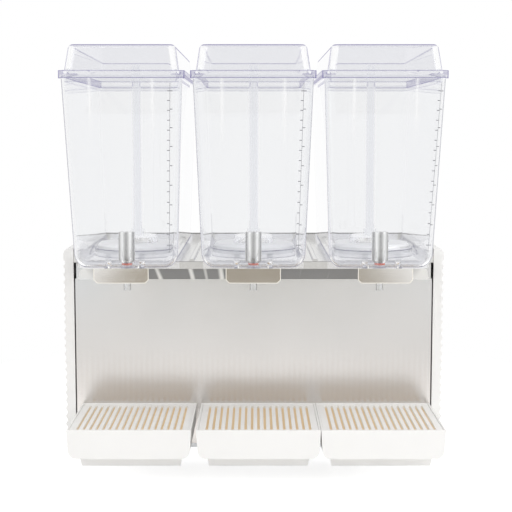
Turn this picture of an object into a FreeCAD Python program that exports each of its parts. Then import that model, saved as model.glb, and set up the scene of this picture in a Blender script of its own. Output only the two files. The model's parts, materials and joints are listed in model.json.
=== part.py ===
import FreeCAD, Part
import math
import os
import re

import Sketcher

# A counter-top cold drink dispenser: three clear bowls with lids, spray tubes and piston valves
# stand on a refrigerated cabinet with three drip trays.
#
# Millimetres. X runs to the right as seen from the front, Y to the rear and Z up. Each piece is
# drawn in cabinet terms: heights above the underside of the base pan, and depths from the front
# face of the steel front panel, minus in front of it and plus behind it. Placements then put the
# front panel at panel_line and the base pan at foot_height, so that the origin of the whole part
# lies on the counter, under the middle of its bounding box.

SIZES = {
    # Clearances
    "seam_gap": 0.5,
    "fit_gap": 0.3,
    "turn_gap": 0.05,
    # Stance
    "front_reach": 204,
    "foot_height": 24,
    "foot_radius": 19,
    "foot_taper": 3,
    "foot_inset_side": 42,
    "foot_inset_end": 36,
    # Cabinet
    "cabinet_width": 622,
    "cabinet_depth": 315,
    "panel_sheet": 1.2,
    "panel_bottom": 7,
    "panel_drop": 39,
    "panel_gap": 2,
    "ear_inset": 2,
    "ear_width": 20,
    "side_thick": 17,
    "side_wall": 3,
    "side_round": 10,
    "groove_pitch": 13.1,
    "groove_depth": 2.5,
    "groove_radius": 6,
    "groove_start": 7,
    "pan_sheet": 1.5,
    "pan_flange": 20,
    # Deck
    "deck_height": 320,
    "deck_inset": 14,
    "deck_sheet": 1.5,
    "deck_overhang": 89,
    "deck_corner": 25,
    "overhang_root_half": 289.5,
    "overhang_tip_half": 272.7,
    "lip_drop": 11.5,
    "rim_rise": 12,
    "ridge_width": 10,
    "ridge_rise": 2.5,
    # Bowls
    "bowl_pitch": 194,
    "bowl_sink": 5,
    "bowl_height": 289,
    "bowl_wall": 3,
    "bowl_base_width": 157,
    "bowl_rim_width": 179,
    "bowl_front_base": 142,
    "bowl_front_rim": 183,
    "bowl_rear_base": 250,
    "bowl_rear_rim": 265,
    "bowl_side_round": 22,
    "bowl_end_round": 16,
    "rim_reach": 1.5,
    "rim_thick": 5,
    "rim_corner": 17,
    "lug_inner": 23.5,
    "lug_thick": 5,
    "lug_radius": 6.5,
    # Lids
    "lid_rise": 45.5,
    "lid_wall": 2.5,
    "lid_base_width": 171,
    "lid_top_width": 158,
    "lid_front_slope": 10,
    "lid_rear_slope": 32,
    "lid_side_round": 7,
    "lid_end_round": 14,
    "flange_rise": 6.7,
    "flange_band": 1.75,
    "flange_drop": 4.5,
    "skirt_drop": 10,
    "skirt_wall": 2,
    # Cooling hubs and spray pumps
    "hub_back": 54,
    "hub_radius": 66,
    "hub_rise": 18,
    "hub_depth": 20,
    "hub_bevel": 4,
    "hub_flange": 6,
    "hub_flange_thick": 3.3,
    "hub_roof": 5,
    "magnet_well": 32,
    "collar_inner": 69,
    "collar_wall": 2.5,
    "collar_rise": 9.5,
    "pump_cover_radius": 33,
    "pump_cover_wall": 3,
    "pump_cover_rise": 12,
    "pump_cover_bevel": 2,
    "pump_windows": 8,
    "pump_window_half": 3,
    "pump_window_rise": 5,
    "socket_rise": 10,
    "socket_wall": 3.2,
    "tube_radius": 7.3,
    "tube_wall": 1.5,
    "tube_drop": 17,
    "tube_notches": 4,
    "tube_notch_half": 1.5,
    "tube_notch_drop": 7,
    "impeller_radius": 26,
    "impeller_disc": 2,
    "impeller_vane": 4.5,
    "vane_count": 6,
    "vane_thick": 2,
    "vane_inset": 1,
    "hub_pin_radius": 3,
    "hub_pin_rise": 8,
    "magnet_radius": 26,
    "magnet_thick": 8,
    "magnet_shaft": 4,
    "shaft_hold": 20,
    "motor_radius": 34,
    "motor_length": 60,
    "motor_flange": 50,
    "motor_flange_thick": 3.7,
    # Valves
    "valve_front": 118,
    "piston_radius": 12.7,
    "piston_height": 49,
    "piston_bevel": 4.5,
    "piston_edge": 1,
    "cup_radius": 8,
    "cup_thick": 5,
    "stem_radius": 2.5,
    "bore_radius": 6,
    "seat_radius": 8.5,
    "seat_drop": 3,
    "spout_radius": 9.5,
    "spout_inner": 7,
    "spout_body": 15,
    "spout_taper": 6,
    "spout_shoulder": 1,
    "spout_tip_radius": 5.4,
    "spout_tip_inner": 4,
    "spout_length": 36,
    "slot_half": 3.7,
    "slot_drop": 17,
    "slot_height": 14.5,
    # Handles
    "handle_half": 40.4,
    "handle_height": 22,
    "handle_drop": 15,
    "handle_sheet": 2,
    "handle_chamfer": 5,
    "arm_inner": 21.2,
    "arm_sheet": 2,
    "pin_front": 165,
    "pin_rise": 2.5,
    "pin_radius": 1.8,
    "eye_radius": 4.5,
    "finger_drop": 12,
    "finger_half": 3,
    "finger_reach": 1.5,
    "yoke_back": 15,
    # Drip trays
    "tray_width": 188,
    "tray_front": 184,
    "tray_top": 75,
    "tray_step": 30,
    "tray_low": 10,
    "tray_wall": 2.5,
    "tray_draft": 2.5,
    "tray_round": 12,
    "tray_rear_wall": 12,
    "foot_step_in": 13,
    "foot_slope": 5,
    "foot_front": 148,
    "grille_rim": 3,
    "grille_ledge": 5,
    "grille_thick": 4,
    "grille_slot": 4,
    "grille_pitch": 9.8,
    "grille_margin": 6,
    "grille_rear_margin": 17,
    "centre_tray_shift": 7.8,
    "close_tray_gap": 0.5,
    "wide_tray_gap": 7.8,
    "hook_front": 6,
    "hook_top": 18,
    "hook_half": 55,
    "hook_room": 0.6,
    # Refrigeration
    "compressor_side": 165,
    "compressor_room": 104.5,
    "compressor_radius": 62,
    "compressor_height": 165,
    "compressor_round": 24,
    "compressor_lift": 10,
    "mount_plate_half": 81,
    "mount_plate_depth": 74,
    "mount_plate_thick": 5.5,
    "mount_radius": 9,
    "mount_inset": 12,
    "terminal_width": 36,
    "terminal_height": 34,
    "terminal_low": 58,
    "terminal_reach": 14,
    "condenser_left": 20,
    "condenser_width": 220,
    "condenser_low": 12,
    "condenser_height": 190,
    "condenser_room": 19.5,
    "condenser_depth": 44,
    "fin_thick": 1.2,
    "fin_pitch": 8,
    "pipe_radius": 4.5,
    "pipe_pitch": 44,
    "pipe_inset": 13,
    "pipe_reach": 8,
    "fan_radius": 88,
    "fan_room": 10,
    "fan_hub": 28,
    "fan_hub_length": 22,
    "fan_hub_bevel": 2,
    "blade_count": 5,
    "blade_root": 2,
    "blade_chord": 34,
    "blade_thick": 2.2,
    "blade_pitch": 28,
    "fan_shaft": 4,
    "fan_motor_radius": 38,
    "fan_motor_length": 58,
    "fan_motor_bevel": 4,
    "fan_bracket_half": 30,
    "fan_bracket_sheet": 3,
    "line_radius": 3.2,
    "line_bend": 16,
    "line_side": 20,
    "line_rise": 30,
    "line_drop": 16,
    "line_port": 58,
    # Electrics on the rear panel
    "louvre_width": 180,
    "louvre_height": 5,
    "louvre_pitch": 13,
    "louvre_low": 40,
    "louvre_count": 13,
    "control_drop": 70,
    "inlet_side": 150,
    "inlet_width": 48,
    "inlet_tall": 30,
    "inlet_well_width": 24,
    "inlet_well_tall": 16,
    "inlet_wall": 3,
    "inlet_depth": 22,
    "inlet_flange": 3,
    "contact_pitch": 6,
    "contact_half": 1,
    "contact_tall": 4,
    "contact_step": 5,
    "contact_short": 4,
    "switch_side": 60,
    "switch_pitch": 34,
    "frame_width": 15,
    "frame_tall": 21,
    "frame_flange": 2,
    "frame_depth": 16,
    "frame_wall": 1.6,
    "rocker_half_width": 4.6,
    "rocker_half_tall": 6.4,
    "rocker_crest": 5.2,
    "rocker_dip": 3.8,
    "rocker_back": 2.6,
    "rocker_tilt": 8,
    "thermostat_side": 90,
    "thermostat_width": 34,
    "thermostat_tall": 42,
    "thermostat_depth": 26,
    "knob_radius": 12,
    "knob_length": 9,
    "knob_bevel": 1,
    "knob_mark_half": 0.8,
    "knob_shaft": 3,
    "knob_shaft_reach": 7,
    # Fasteners
    "screw_head": 4,
    "screw_head_thick": 2.2,
    "screw_shank": 1.9,
    "screw_length": 9,
    "screw_bevel": 1,
    "screw_inset": 10,
    "screw_side": 40,
}

FORMULAS = {
    # The frame of the whole part
    "panel_line": "(front_reach - cabinet_depth) / 2",
    # Cabinet
    "side_outer": "cabinet_width / 2",
    "side_inner": "side_outer - side_thick",
    "panel_half": "side_inner - seam_gap",
    "front_half": "side_inner - panel_gap",
    "ear_half": "front_half - ear_inset",
    "cabinet_top": "deck_height + rim_rise",
    "deck_depth": "cabinet_depth - deck_inset",
    "rear_inner": "deck_depth + seam_gap",
    "rear_outer": "rear_inner + panel_sheet",
    "pan_front": "panel_sheet + seam_gap",
    "panel_bend": "deck_height - panel_drop",
    "soffit_tip": "deck_overhang - deck_sheet - fit_gap",
    "soffit_rise": "deck_height - lip_drop + fit_gap",
    # Deck
    "deck_under": "deck_height - deck_sheet",
    "lip_low": "deck_height - lip_drop",
    # Bowls
    "bowl_base": "deck_height - bowl_sink",
    "bowl_rim": "bowl_base + bowl_height",
    "bowl_floor": "deck_height + bowl_wall",
    "sump_floor": "bowl_base + bowl_wall",
    "sump_rear": "deck_overhang + fit_gap + seam_gap",
    "rim_half": "bowl_rim_width / 2 + rim_reach",
    "rim_front": "bowl_front_rim + rim_reach",
    "rim_rear": "bowl_rear_rim + rim_reach",
    # Lids
    "lid_top": "bowl_rim + lid_rise",
    "lid_seat": "bowl_rim + fit_gap",
    "lid_base_front": "bowl_front_rim - bowl_rim_width / 2 + lid_base_width / 2",
    "lid_base_rear": "bowl_rear_rim - bowl_rim_width / 2 + lid_base_width / 2",
    "rim_run": "skirt_drop / bowl_height",
    "side_run": "(bowl_rim_width - bowl_base_width) / 2 * rim_run",
    "skirt_half": "bowl_rim_width / 2 - bowl_wall - seam_gap - side_run",
    "skirt_front": "bowl_front_rim - bowl_wall - seam_gap - (bowl_front_rim - bowl_front_base) * rim_run",
    "skirt_rear": "bowl_rear_rim - bowl_wall - seam_gap - (bowl_rear_rim - bowl_rear_base) * rim_run",
    # Cooling hubs and spray pumps
    "hub_top": "deck_height + hub_rise",
    "hub_low": "deck_height - hub_depth",
    "collar_outer": "collar_inner + collar_wall",
    "tube_top": "lid_top - tube_drop",
    "pump_roof": "hub_top + pump_cover_rise",
    "motor_top": "hub_low",
    "magnet_top": "hub_top - hub_roof - hub_pin_radius",
    # Valves
    "seat_level": "sump_floor - seat_drop",
    "cup_low": "seat_level + fit_gap",
    "piston_low": "cup_low + cup_thick",
    "spout_neck": "bowl_base - spout_body",
    "spout_tip": "bowl_base - spout_length",
    "slot_low": "bowl_base - slot_drop",
    "slot_high": "slot_low + slot_height",
    "finger_top": "bowl_base - finger_drop",
    "stem_low": "finger_top + fit_gap + turn_gap * 2",
    # Handles
    "handle_low": "bowl_base - handle_drop",
    "handle_top": "handle_low + handle_height",
    "pin_height": "bowl_base + pin_rise",
    "handle_face": "front_reach - handle_sheet",
    "arm_outer": "arm_inner + arm_sheet",
    "lug_outer": "lug_inner + lug_thick",
    "yoke_rear": "pin_front - yoke_back",
    # Drip trays
    "tray_half": "tray_width / 2",
    "tray_rear": "fit_gap",
    "grille_seat": "tray_top - grille_ledge",
    "tray_foot": "tray_half - foot_step_in",
    "tray_side_wall": "tray_round - tray_wall",
    "tray_front_wall": "tray_wall * 3",
    "centre_tray": "centre_tray_shift",
    "left_tray": "centre_tray_shift - tray_width - wide_tray_gap",
    "right_tray": "centre_tray_shift + tray_width + close_tray_gap",
    # Refrigeration
    "compressor_back": "rear_inner - compressor_room - mount_plate_depth / 2",
    "condenser_rear": "rear_inner - condenser_room",
    "condenser_front": "condenser_rear - condenser_depth",
    "fan_front": "condenser_front - fan_room - fan_hub_length",
    "control_height": "deck_height - control_drop",
    "condenser_mid": "condenser_left + condenser_width / 2",
    "fan_height": "condenser_low + condenser_height / 2",
    "pan_top": "pan_sheet",
    "motor_low": "motor_top - motor_length",
    "upper_screws": "(lip_low + deck_under) / 2",
    "compressor_top": "pan_top + compressor_height",
    "first_pipe": "condenser_low + pipe_inset",
    "front_pipes": "condenser_front + pipe_inset",
    "rear_pipes": "condenser_rear - pipe_inset",
}

PLACES = {"left": "-bowl_pitch", "centre": "0", "right": "bowl_pitch"}
TRAYS = {"left": "left_tray", "centre": "centre_tray", "right": "right_tray"}
SIDES = {"left": -1, "right": 1}
PLANES = {"top": "XY_Plane", "front": "XZ_Plane", "side": "YZ_Plane"}
TOUCH = 0.01
PAST = 5

doc = FreeCAD.newDocument("DrinkDispenser")
sheet = doc.addObject("Spreadsheet::Sheet", "Sizes")
nodes = {}


def fill_sheet():
    """Write each driving size into its own named cell."""
    for row, (name, size) in enumerate(SIZES.items(), start=1):
        sheet.set(f"A{row}", name)
        sheet.set(f"B{row}", str(size))
        sheet.setAlias(f"B{row}", name)
    doc.recompute()


def expand(formula):
    """Write a formula of size names as an expression on the sheet's cells."""

    def look_up(match):
        word = match.group()
        if word in SIZES:
            return "Sizes." + word
        if word in FORMULAS:
            return "(" + expand(FORMULAS[word]) + ")"
        return word

    return re.sub(r"[a-z_]+", look_up, str(formula))


def number(formula):
    """Work out a formula with the sheet's present sizes."""
    return float(sheet.evalExpression(expand(formula)))


def bind(item, path, formula):
    """Tie one property to a formula."""
    item.setExpression(path, expand(formula))


def place(item, x="0", y="0", z="0"):
    """Tie the place of an object to formulas."""
    for axis, formula in zip("xyz", (x, y, z)):
        bind(item, f"Placement.Base.{axis}", formula)


def keep(label, item, x="0", y="0", z="0"):
    """Make an object a finished piece, standing in the frame of the whole part."""
    item.Label = label
    place(item, x, f"panel_line + {y}", f"foot_height + {z}")
    nodes[label] = item
    return item


def new_body(name):
    """Start a body."""
    return doc.addObject("PartDesign::Body", name)


def rectangle(left, right, low, high):
    """Give the corners of an upright rectangle."""
    return [(left, low), (right, low), (right, high), (left, high)]


def mirrored(corners):
    """Give an outline's mirror image about its second axis."""
    return [(f"-({x})", y) for x, y in reversed(corners)]


def draw_polygon(sketch, corners):
    """Draw a closed outline with each corner tied to its two formulas."""
    spots = [FreeCAD.Vector(number(x), number(y), 0) for x, y in corners]
    count = len(spots)
    for index in range(count):
        sketch.addGeometry(Part.LineSegment(spots[index], spots[(index + 1) % count]), False)
    for index in range(count):
        sketch.addConstraint(Sketcher.Constraint("Coincident", index, 2, (index + 1) % count, 1))
    for index, (x, y) in enumerate(corners):
        spot = spots[index]
        for kind, size, formula in (("DistanceX", spot.x, x), ("DistanceY", spot.y, y)):
            line = sketch.addConstraint(Sketcher.Constraint(kind, -1, 1, index, 1, size))
            bind(sketch, f"Constraints[{line}]", formula)


def draw_circle(sketch, x, y, radius):
    """Draw a circle with its centre and radius tied to formulas."""
    centre = FreeCAD.Vector(number(x), number(y), 0)
    size = number(radius)
    sketch.addGeometry(Part.Circle(centre, FreeCAD.Vector(0, 0, 1), size), False)
    for kind, start, formula in (("DistanceX", centre.x, x), ("DistanceY", centre.y, y)):
        line = sketch.addConstraint(Sketcher.Constraint(kind, -1, 1, 0, 3, start))
        bind(sketch, f"Constraints[{line}]", formula)
    line = sketch.addConstraint(Sketcher.Constraint("Radius", 0, size))
    bind(sketch, f"Constraints[{line}]", radius)


def draw(body, plane, level, shape):
    """Sketch a polygon (a list of corners) or a circle (x, y, radius) at a level of a plane."""
    sketch = body.newObject("Sketcher::SketchObject", body.Name + "_sketch")
    role = PLANES[plane]
    support = next(item for item in body.Origin.OriginFeatures if item.Role == role)
    sketch.AttachmentSupport = [(support, "")]
    sketch.MapMode = "FlatFace"
    bind(sketch, "AttachmentOffset.Base.z", f"-({level})" if plane == "front" else level)
    if isinstance(shape, list):
        draw_polygon(sketch, shape)
    else:
        draw_circle(sketch, *shape)
    return sketch


def slab(body, plane, low, high, shape):
    """Add material between two levels of a plane."""
    feature = body.newObject("PartDesign::Pad", body.Name + "_slab")
    feature.Profile = draw(body, plane, low, shape)
    feature.Reversed = plane == "front"
    bind(feature, "Length", f"({high}) - ({low})")
    body.Tip = feature
    return feature


def carve(body, plane, low, high, shape):
    """Take material away between two levels of a plane, and see that some went."""
    doc.recompute()
    before = body.Shape.Volume
    feature = body.newObject("PartDesign::Pocket", body.Name + "_carve")
    feature.Profile = draw(body, plane, low, shape)
    feature.Reversed = plane != "front"
    bind(feature, "Length", f"({high}) - ({low})")
    body.Tip = feature
    doc.recompute()
    if not body.Shape.Volume < before:
        raise RuntimeError(f"a cut in {body.Name} took nothing away")
    return feature


def repeat_line(body, feature, axis, count, pitch):
    """Repeat a feature along its sketch's first or second axis."""
    pattern = body.newObject("PartDesign::LinearPattern", body.Name + "_row")
    pattern.Originals = [feature]
    pattern.Direction = (feature.Profile[0], [axis])
    bind(pattern, "Length", f"({pitch}) * (({count}) - 1)")
    bind(pattern, "Occurrences", count)
    body.Tip = pattern
    return pattern


def repeat_round(body, feature, axis, count):
    """Repeat a feature about an axis of its sketch."""
    pattern = body.newObject("PartDesign::PolarPattern", body.Name + "_ring")
    pattern.Originals = [feature]
    pattern.Axis = (feature.Profile[0], [axis])
    pattern.Angle = 360
    bind(pattern, "Occurrences", count)
    body.Tip = pattern
    return pattern


def turn(name, corners, upright=True):
    """Turn an outline about the Z axis from (radius, height), or the Y axis from (depth, radius)."""
    body = new_body(name)
    feature = body.newObject("PartDesign::Revolution", name + "_turn")
    sketch = draw(body, "front" if upright else "side", "0", corners)
    feature.Profile = sketch
    feature.ReferenceAxis = (sketch, ["V_Axis" if upright else "H_Axis"])
    feature.Angle = 360
    body.Tip = feature
    return body


def soften(body, radius, chosen):
    """Round those edges of a body that the test picks."""
    doc.recompute()
    base = body.Tip
    names = [f"Edge{place}" for place, edge in enumerate(base.Shape.Edges, 1) if chosen(edge)]
    feature = body.newObject("PartDesign::Fillet", body.Name + "_round")
    feature.Base = (base, names)
    bind(feature, "Radius", radius)
    body.Tip = feature
    return feature


def ends(edge):
    """Give the end points of an edge."""
    return [vertex.Point for vertex in edge.Vertexes]


def near(size, target):
    """Say whether a size is the target."""
    return abs(size - target) < TOUCH


def is_upright(edge):
    """Say whether an edge is a vertical line."""
    points = ends(edge)
    return len(points) == 2 and near(points[0].x, points[1].x) and near(points[0].y, points[1].y)


def at_level(edge, axis, level):
    """Say whether an edge lies wholly at one level of an axis."""
    return all(near(getattr(point, axis), level) for point in ends(edge))


def join(name, *items):
    """Fuse objects into one."""
    feature = doc.addObject("Part::MultiFuse", name)
    feature.Shapes = list(items)
    feature.Refine = True
    return feature


def cut(name, base, *tools):
    """Cut one or more tools out of a base."""
    feature = doc.addObject("Part::Cut", name)
    feature.Base = base
    feature.Tool = tools[0] if len(tools) == 1 else join(name + "_tools", *tools)
    feature.Refine = True
    return feature


def group(name, items):
    """Gather separate solids in one piece."""
    feature = doc.addObject("Part::Compound", name)
    feature.Links = items
    return feature


def copy_of(form, x="0", y="0", z="0"):
    """Place one more of a form."""
    item = group(form.Name + "_copy", [form])
    place(item, x, y, z)
    return item


def keep_each(name, form, places, y="0", z="0"):
    """Make a finished piece of a form at each of the left, centre and right places."""
    for side, x in places.items():
        keep(f"{side}_{name}", copy_of(form), x, y, z)


def block(name, left, right, front, rear, low, high):
    """Make a plain box between named limits."""
    box = doc.addObject("Part::Box", name)
    place(box, left, front, low)
    bind(box, "Length", f"({right}) - ({left})")
    bind(box, "Width", f"({rear}) - ({front})")
    bind(box, "Height", f"({high}) - ({low})")
    return box


def post(name, x, y, radius, low, high):
    """Make an upright cylinder."""
    cylinder = doc.addObject("Part::Cylinder", name)
    place(cylinder, x, y, low)
    bind(cylinder, "Radius", radius)
    bind(cylinder, "Height", f"({high}) - ({low})")
    return cylinder


def rounded_block(name, half, front, rear, low, high, radius):
    """Make a box with round upright corners."""
    body = new_body(name)
    slab(body, "top", low, high, rectangle(f"-({half})", half, f"-({front})", rear))
    soften(body, radius, is_upright)
    return body


def tapered_block(name, low, high):
    """Make a block with four sloping walls.

    low and high hold the height, half width, front and rear of its two ends.
    """
    low_z, low_half, low_front, low_rear = low
    high_z, high_half, high_front, high_rear = high
    front_limit = f"max({low_front}; {high_front}) + {PAST * 4}"
    rear_limit = f"max({low_rear}; {high_rear}) + {PAST * 4}"
    width_limit = f"max({low_half}; {high_half}) + {PAST * 4}"
    body = new_body(name)
    section = [(f"-({low_half})", low_z), (low_half, low_z),
               (high_half, high_z), (f"-({high_half})", high_z)]
    slab(body, "front", f"-({front_limit})", rear_limit, section)
    front_wedge = [(f"-({low_front})", low_z), (f"-({high_front})", high_z),
                   (f"-({front_limit})", high_z), (f"-({front_limit})", low_z)]
    rear_wedge = [(low_rear, low_z), (high_rear, high_z), (rear_limit, high_z), (rear_limit, low_z)]
    for wedge in (front_wedge, rear_wedge):
        carve(body, "side", f"-({width_limit})", width_limit, wedge)
    return body


def tank_block(name, low, high, side_round, end_round):
    """Make a tapered block rounded along its bottom and round its front and rear faces."""
    body = tapered_block(name, low, high)
    low_level = number(low[0])
    high_level = number(high[0])
    soften(body, side_round, lambda edge: at_level(edge, "z", low_level)
           and near(ends(edge)[0].x, ends(edge)[1].x))
    for sense in (-1, 1):
        doc.recompute()
        face = max(body.Shape.Faces, key=lambda item: sense * item.CenterOfMass.y)
        edges = [edge for edge in face.Edges if not at_level(edge, "z", high_level)]
        soften(body, end_round, lambda edge: any(same_edge(edge, other) for other in edges))
    return body


def dome_block(name, low, high, top_round, corner_round):
    """Make a tapered block rounded down its four corners and all round its top."""
    body = tapered_block(name, low, high)
    low_level = number(low[0])
    high_level = number(high[0])
    soften(body, corner_round, lambda edge: not at_level(edge, "z", low_level)
           and not at_level(edge, "z", high_level))
    soften(body, top_round, lambda edge: at_level(edge, "z", high_level))
    return body


def same_edge(one, other):
    """Say whether two edges run through the same points."""
    return (one.CenterOfMass - other.CenterOfMass).Length < TOUCH and near(one.Length, other.Length)


def bowl_solid():
    """Make a bowl: tapered tank, rim, collar round the hub, outlet spout and handle lugs."""
    outer = tank_block(
        "bowl_outer",
        ("bowl_base", "bowl_base_width / 2", "bowl_front_base", "bowl_rear_base"),
        ("bowl_rim", "bowl_rim_width / 2", "bowl_front_rim", "bowl_rear_rim"),
        "bowl_side_round", "bowl_end_round")
    inner = tank_block(
        "bowl_inner",
        ("sump_floor", "bowl_base_width / 2 - bowl_wall", "bowl_front_base - bowl_wall",
         "bowl_rear_base - bowl_wall"),
        ("bowl_rim", "bowl_rim_width / 2 - bowl_wall", "bowl_front_rim - bowl_wall",
         "bowl_rear_rim - bowl_wall"),
        "bowl_side_round - bowl_wall", "bowl_end_round - bowl_wall")
    low = f"bowl_base - {PAST}"
    rear = f"bowl_rear_rim + {PAST}"
    step = block("bowl_step", "-bowl_pitch / 2", "bowl_pitch / 2", "-sump_rear", rear, low,
                 "deck_height")
    floor = block("bowl_inside_step", "-bowl_pitch / 2", "bowl_pitch / 2",
                  "-sump_rear - bowl_wall", rear, low, "bowl_floor")
    rim = rounded_block("bowl_rim_band", "rim_half", "rim_front", "rim_rear",
                        "bowl_rim - rim_thick", "bowl_rim", "rim_corner")
    skin = join("bowl_skin", cut("bowl_stepped", outer, step), rim, *bowl_lugs())
    tank = cut("bowl_tank", skin, cut("bowl_hollow", inner, floor))
    collar = post("bowl_collar", "0", "hub_back", "collar_outer", "deck_height",
                  "deck_height + collar_rise")
    spout = turn("bowl_spout", [
        ("0", "sump_floor - bowl_wall / 2"), ("spout_radius", "sump_floor - bowl_wall / 2"),
        ("spout_radius", "spout_neck"), ("spout_tip_radius", "spout_neck - spout_taper"),
        ("spout_tip_radius", "spout_tip"), ("0", "spout_tip")])
    place(spout, "0", "-valve_front")
    return cut("bowl", join("bowl_whole", tank, collar, spout), *bowl_cutters())


def bowl_lugs():
    """Make the two lugs that hold the handle's pins."""
    lugs = []
    foot = "-bowl_front_base + bowl_end_round"
    web = [("-pin_front", "pin_height - lug_radius"), (foot, "pin_height - lug_radius"),
           (foot, "pin_height + bowl_end_round"),
           ("-bowl_front_base - bowl_wall", "pin_height + bowl_end_round"),
           ("-pin_front", "pin_height + lug_radius")]
    for side, sign in SIDES.items():
        lug = new_body(f"{side}_lug")
        low, high = span(sign, "lug_inner", "lug_outer")
        slab(lug, "side", low, high, web)
        slab(lug, "side", low, high, ("-pin_front", "pin_height", "lug_radius"))
        lugs.append(lug)
    return lugs


def bowl_cutters():
    """Make what is cut from a bowl: valve seat and bore, finger slot, hub opening and pin holes."""
    ledge = "seat_level - bowl_wall"
    bore = turn("valve_bore", [
        ("0", f"sump_floor + {PAST}"), ("seat_radius", f"sump_floor + {PAST}"),
        ("seat_radius", "seat_level"), ("bore_radius", "seat_level"), ("bore_radius", ledge),
        ("spout_inner", f"{ledge} - spout_shoulder"),
        ("spout_inner", "spout_neck + spout_shoulder"),
        ("spout_tip_inner", "spout_neck - spout_taper + spout_shoulder"),
        ("spout_tip_inner", f"spout_tip - {PAST}"), ("0", f"spout_tip - {PAST}")])
    place(bore, "0", "-valve_front")
    slot = block("finger_slot", "-slot_half", "slot_half", f"-valve_front - spout_radius - {PAST}",
                 "-valve_front", "slot_low", "slot_high")
    opening = post("hub_opening", "0", "hub_back", "collar_inner", f"bowl_base - {PAST}",
                   f"deck_height + collar_rise + {PAST}")
    pin_hole = new_body("pin_hole")
    slab(pin_hole, "side", "-bowl_pitch / 2", "bowl_pitch / 2",
         ("-pin_front", "pin_height", "pin_radius + turn_gap"))
    return [bore, slot, opening, pin_hole]


def lid_solid():
    """Make a lid: hollow dome, flange with a band round the bowl's rim, and an inner skirt."""
    dome = dome_block(
        "lid_dome",
        ("lid_seat", "lid_base_width / 2", "lid_base_front", "lid_base_rear"),
        ("lid_top", "lid_top_width / 2", "lid_base_front - lid_front_slope",
         "lid_base_rear - lid_rear_slope"),
        "lid_side_round", "lid_end_round")
    hollow = dome_block(
        "lid_hollow",
        ("lid_seat + skirt_wall", "lid_base_width / 2 - lid_wall", "lid_base_front - lid_wall",
         "lid_base_rear - lid_wall"),
        ("lid_top - lid_wall", "lid_top_width / 2 - lid_wall",
         "lid_base_front - lid_front_slope - lid_wall", "lid_base_rear - lid_rear_slope - lid_wall"),
        "lid_side_round - lid_wall", "lid_end_round - lid_wall")
    band = "fit_gap + flange_band"
    flange = rounded_block("lid_flange", f"rim_half + {band}", f"rim_front + {band}",
                           f"rim_rear + {band}", "bowl_rim - flange_drop",
                           "lid_seat + flange_rise", f"rim_corner + {band}")
    room = rounded_block("lid_rim_room", "rim_half + fit_gap", "rim_front + fit_gap",
                         "rim_rear + fit_gap", f"bowl_rim - flange_drop - {PAST}", "lid_seat",
                         "rim_corner + fit_gap")
    skirt = rounded_block("lid_skirt", "skirt_half", "skirt_front", "skirt_rear",
                          "bowl_rim - skirt_drop", "lid_seat + skirt_wall / 2", "bowl_end_round")
    throat = rounded_block("lid_throat", "skirt_half - skirt_wall", "skirt_front - skirt_wall",
                           "skirt_rear - skirt_wall", f"bowl_rim - skirt_drop - {PAST}",
                           "lid_seat + skirt_wall + lid_wall", "bowl_end_round - skirt_wall")
    shell = cut("lid_shell", join("lid_form", dome, flange), room)
    return cut("lid", join("lid_whole", shell, skirt), hollow, throat)


def span(sign, near_edge, far_edge):
    """Give the two limits, in rising order, of what lies on one side of the middle."""
    edges = (near_edge, far_edge) if sign > 0 else (far_edge, near_edge)
    return [f"{sign} * ({edge})" for edge in edges]


def make_bowls():
    """Make what lifts off with the bowls: bowl, lid, valve piston, seat cup, handle and pins."""
    keep_each("bowl", bowl_solid(), PLACES)
    keep_each("lid", lid_solid(), PLACES)
    top = "piston_low + piston_height"
    piston = turn("piston", [
        ("0", "stem_low"), ("stem_radius", "stem_low"), ("stem_radius", "piston_low"),
        ("piston_radius - piston_bevel", "piston_low"),
        ("piston_radius", "piston_low + piston_bevel"), ("piston_radius", f"{top} - piston_edge"),
        ("piston_radius - piston_edge", top), ("0", top)])
    keep_each("valve_piston", piston, PLACES, "-valve_front")
    cup = turn("cup", rectangle("stem_radius + turn_gap", "cup_radius", "cup_low", "piston_low"))
    keep_each("seat_cup", cup, PLACES, "-valve_front")
    keep_each("handle", handle_solid(), PLACES)
    pins = []
    for side, sign in SIDES.items():
        pin = new_body(f"{side}_pin")
        slab(pin, "side", *span(sign, "arm_inner - fit_gap", "lug_outer + fit_gap"),
             ("-pin_front", "pin_height", "pin_radius"))
        pins.append(pin)
    keep_each("handle_pins", group("pins", pins), PLACES)


def handle_solid():
    """Make a handle: face plate, two arms with eyes, a yoke plate and the lifting finger."""
    body = new_body("handle")
    bevel = "handle_low + handle_chamfer"
    slab(body, "front", "-front_reach", "-handle_face", [
        ("-handle_half + handle_chamfer", "handle_low"),
        ("handle_half - handle_chamfer", "handle_low"), ("handle_half", bevel),
        ("handle_half", "handle_top"), ("-handle_half", "handle_top"), ("-handle_half", bevel)])
    low = "finger_top - handle_sheet"
    slab(body, "top", low, "finger_top",
         rectangle("-arm_outer", "arm_outer", "-handle_face", "-yoke_rear"))
    slab(body, "top", low, "finger_top",
         rectangle("-finger_half", "finger_half", "-pin_front", "-valve_front + finger_reach"))
    arm = [("-handle_face", low), ("-yoke_rear", low), ("-yoke_rear", "finger_top"),
           ("-pin_front + eye_radius", "pin_height"), ("-pin_front - eye_radius", "pin_height"),
           ("-handle_face", "pin_height - eye_radius")]
    for sign in SIDES.values():
        limits = span(sign, "arm_inner", "arm_outer")
        slab(body, "side", *limits, arm)
        slab(body, "side", *limits, ("-pin_front", "pin_height", "eye_radius"))
    carve(body, "side", f"-arm_outer - {PAST}", f"arm_outer + {PAST}",
          ("-pin_front", "pin_height", "pin_radius + turn_gap"))
    return body


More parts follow.
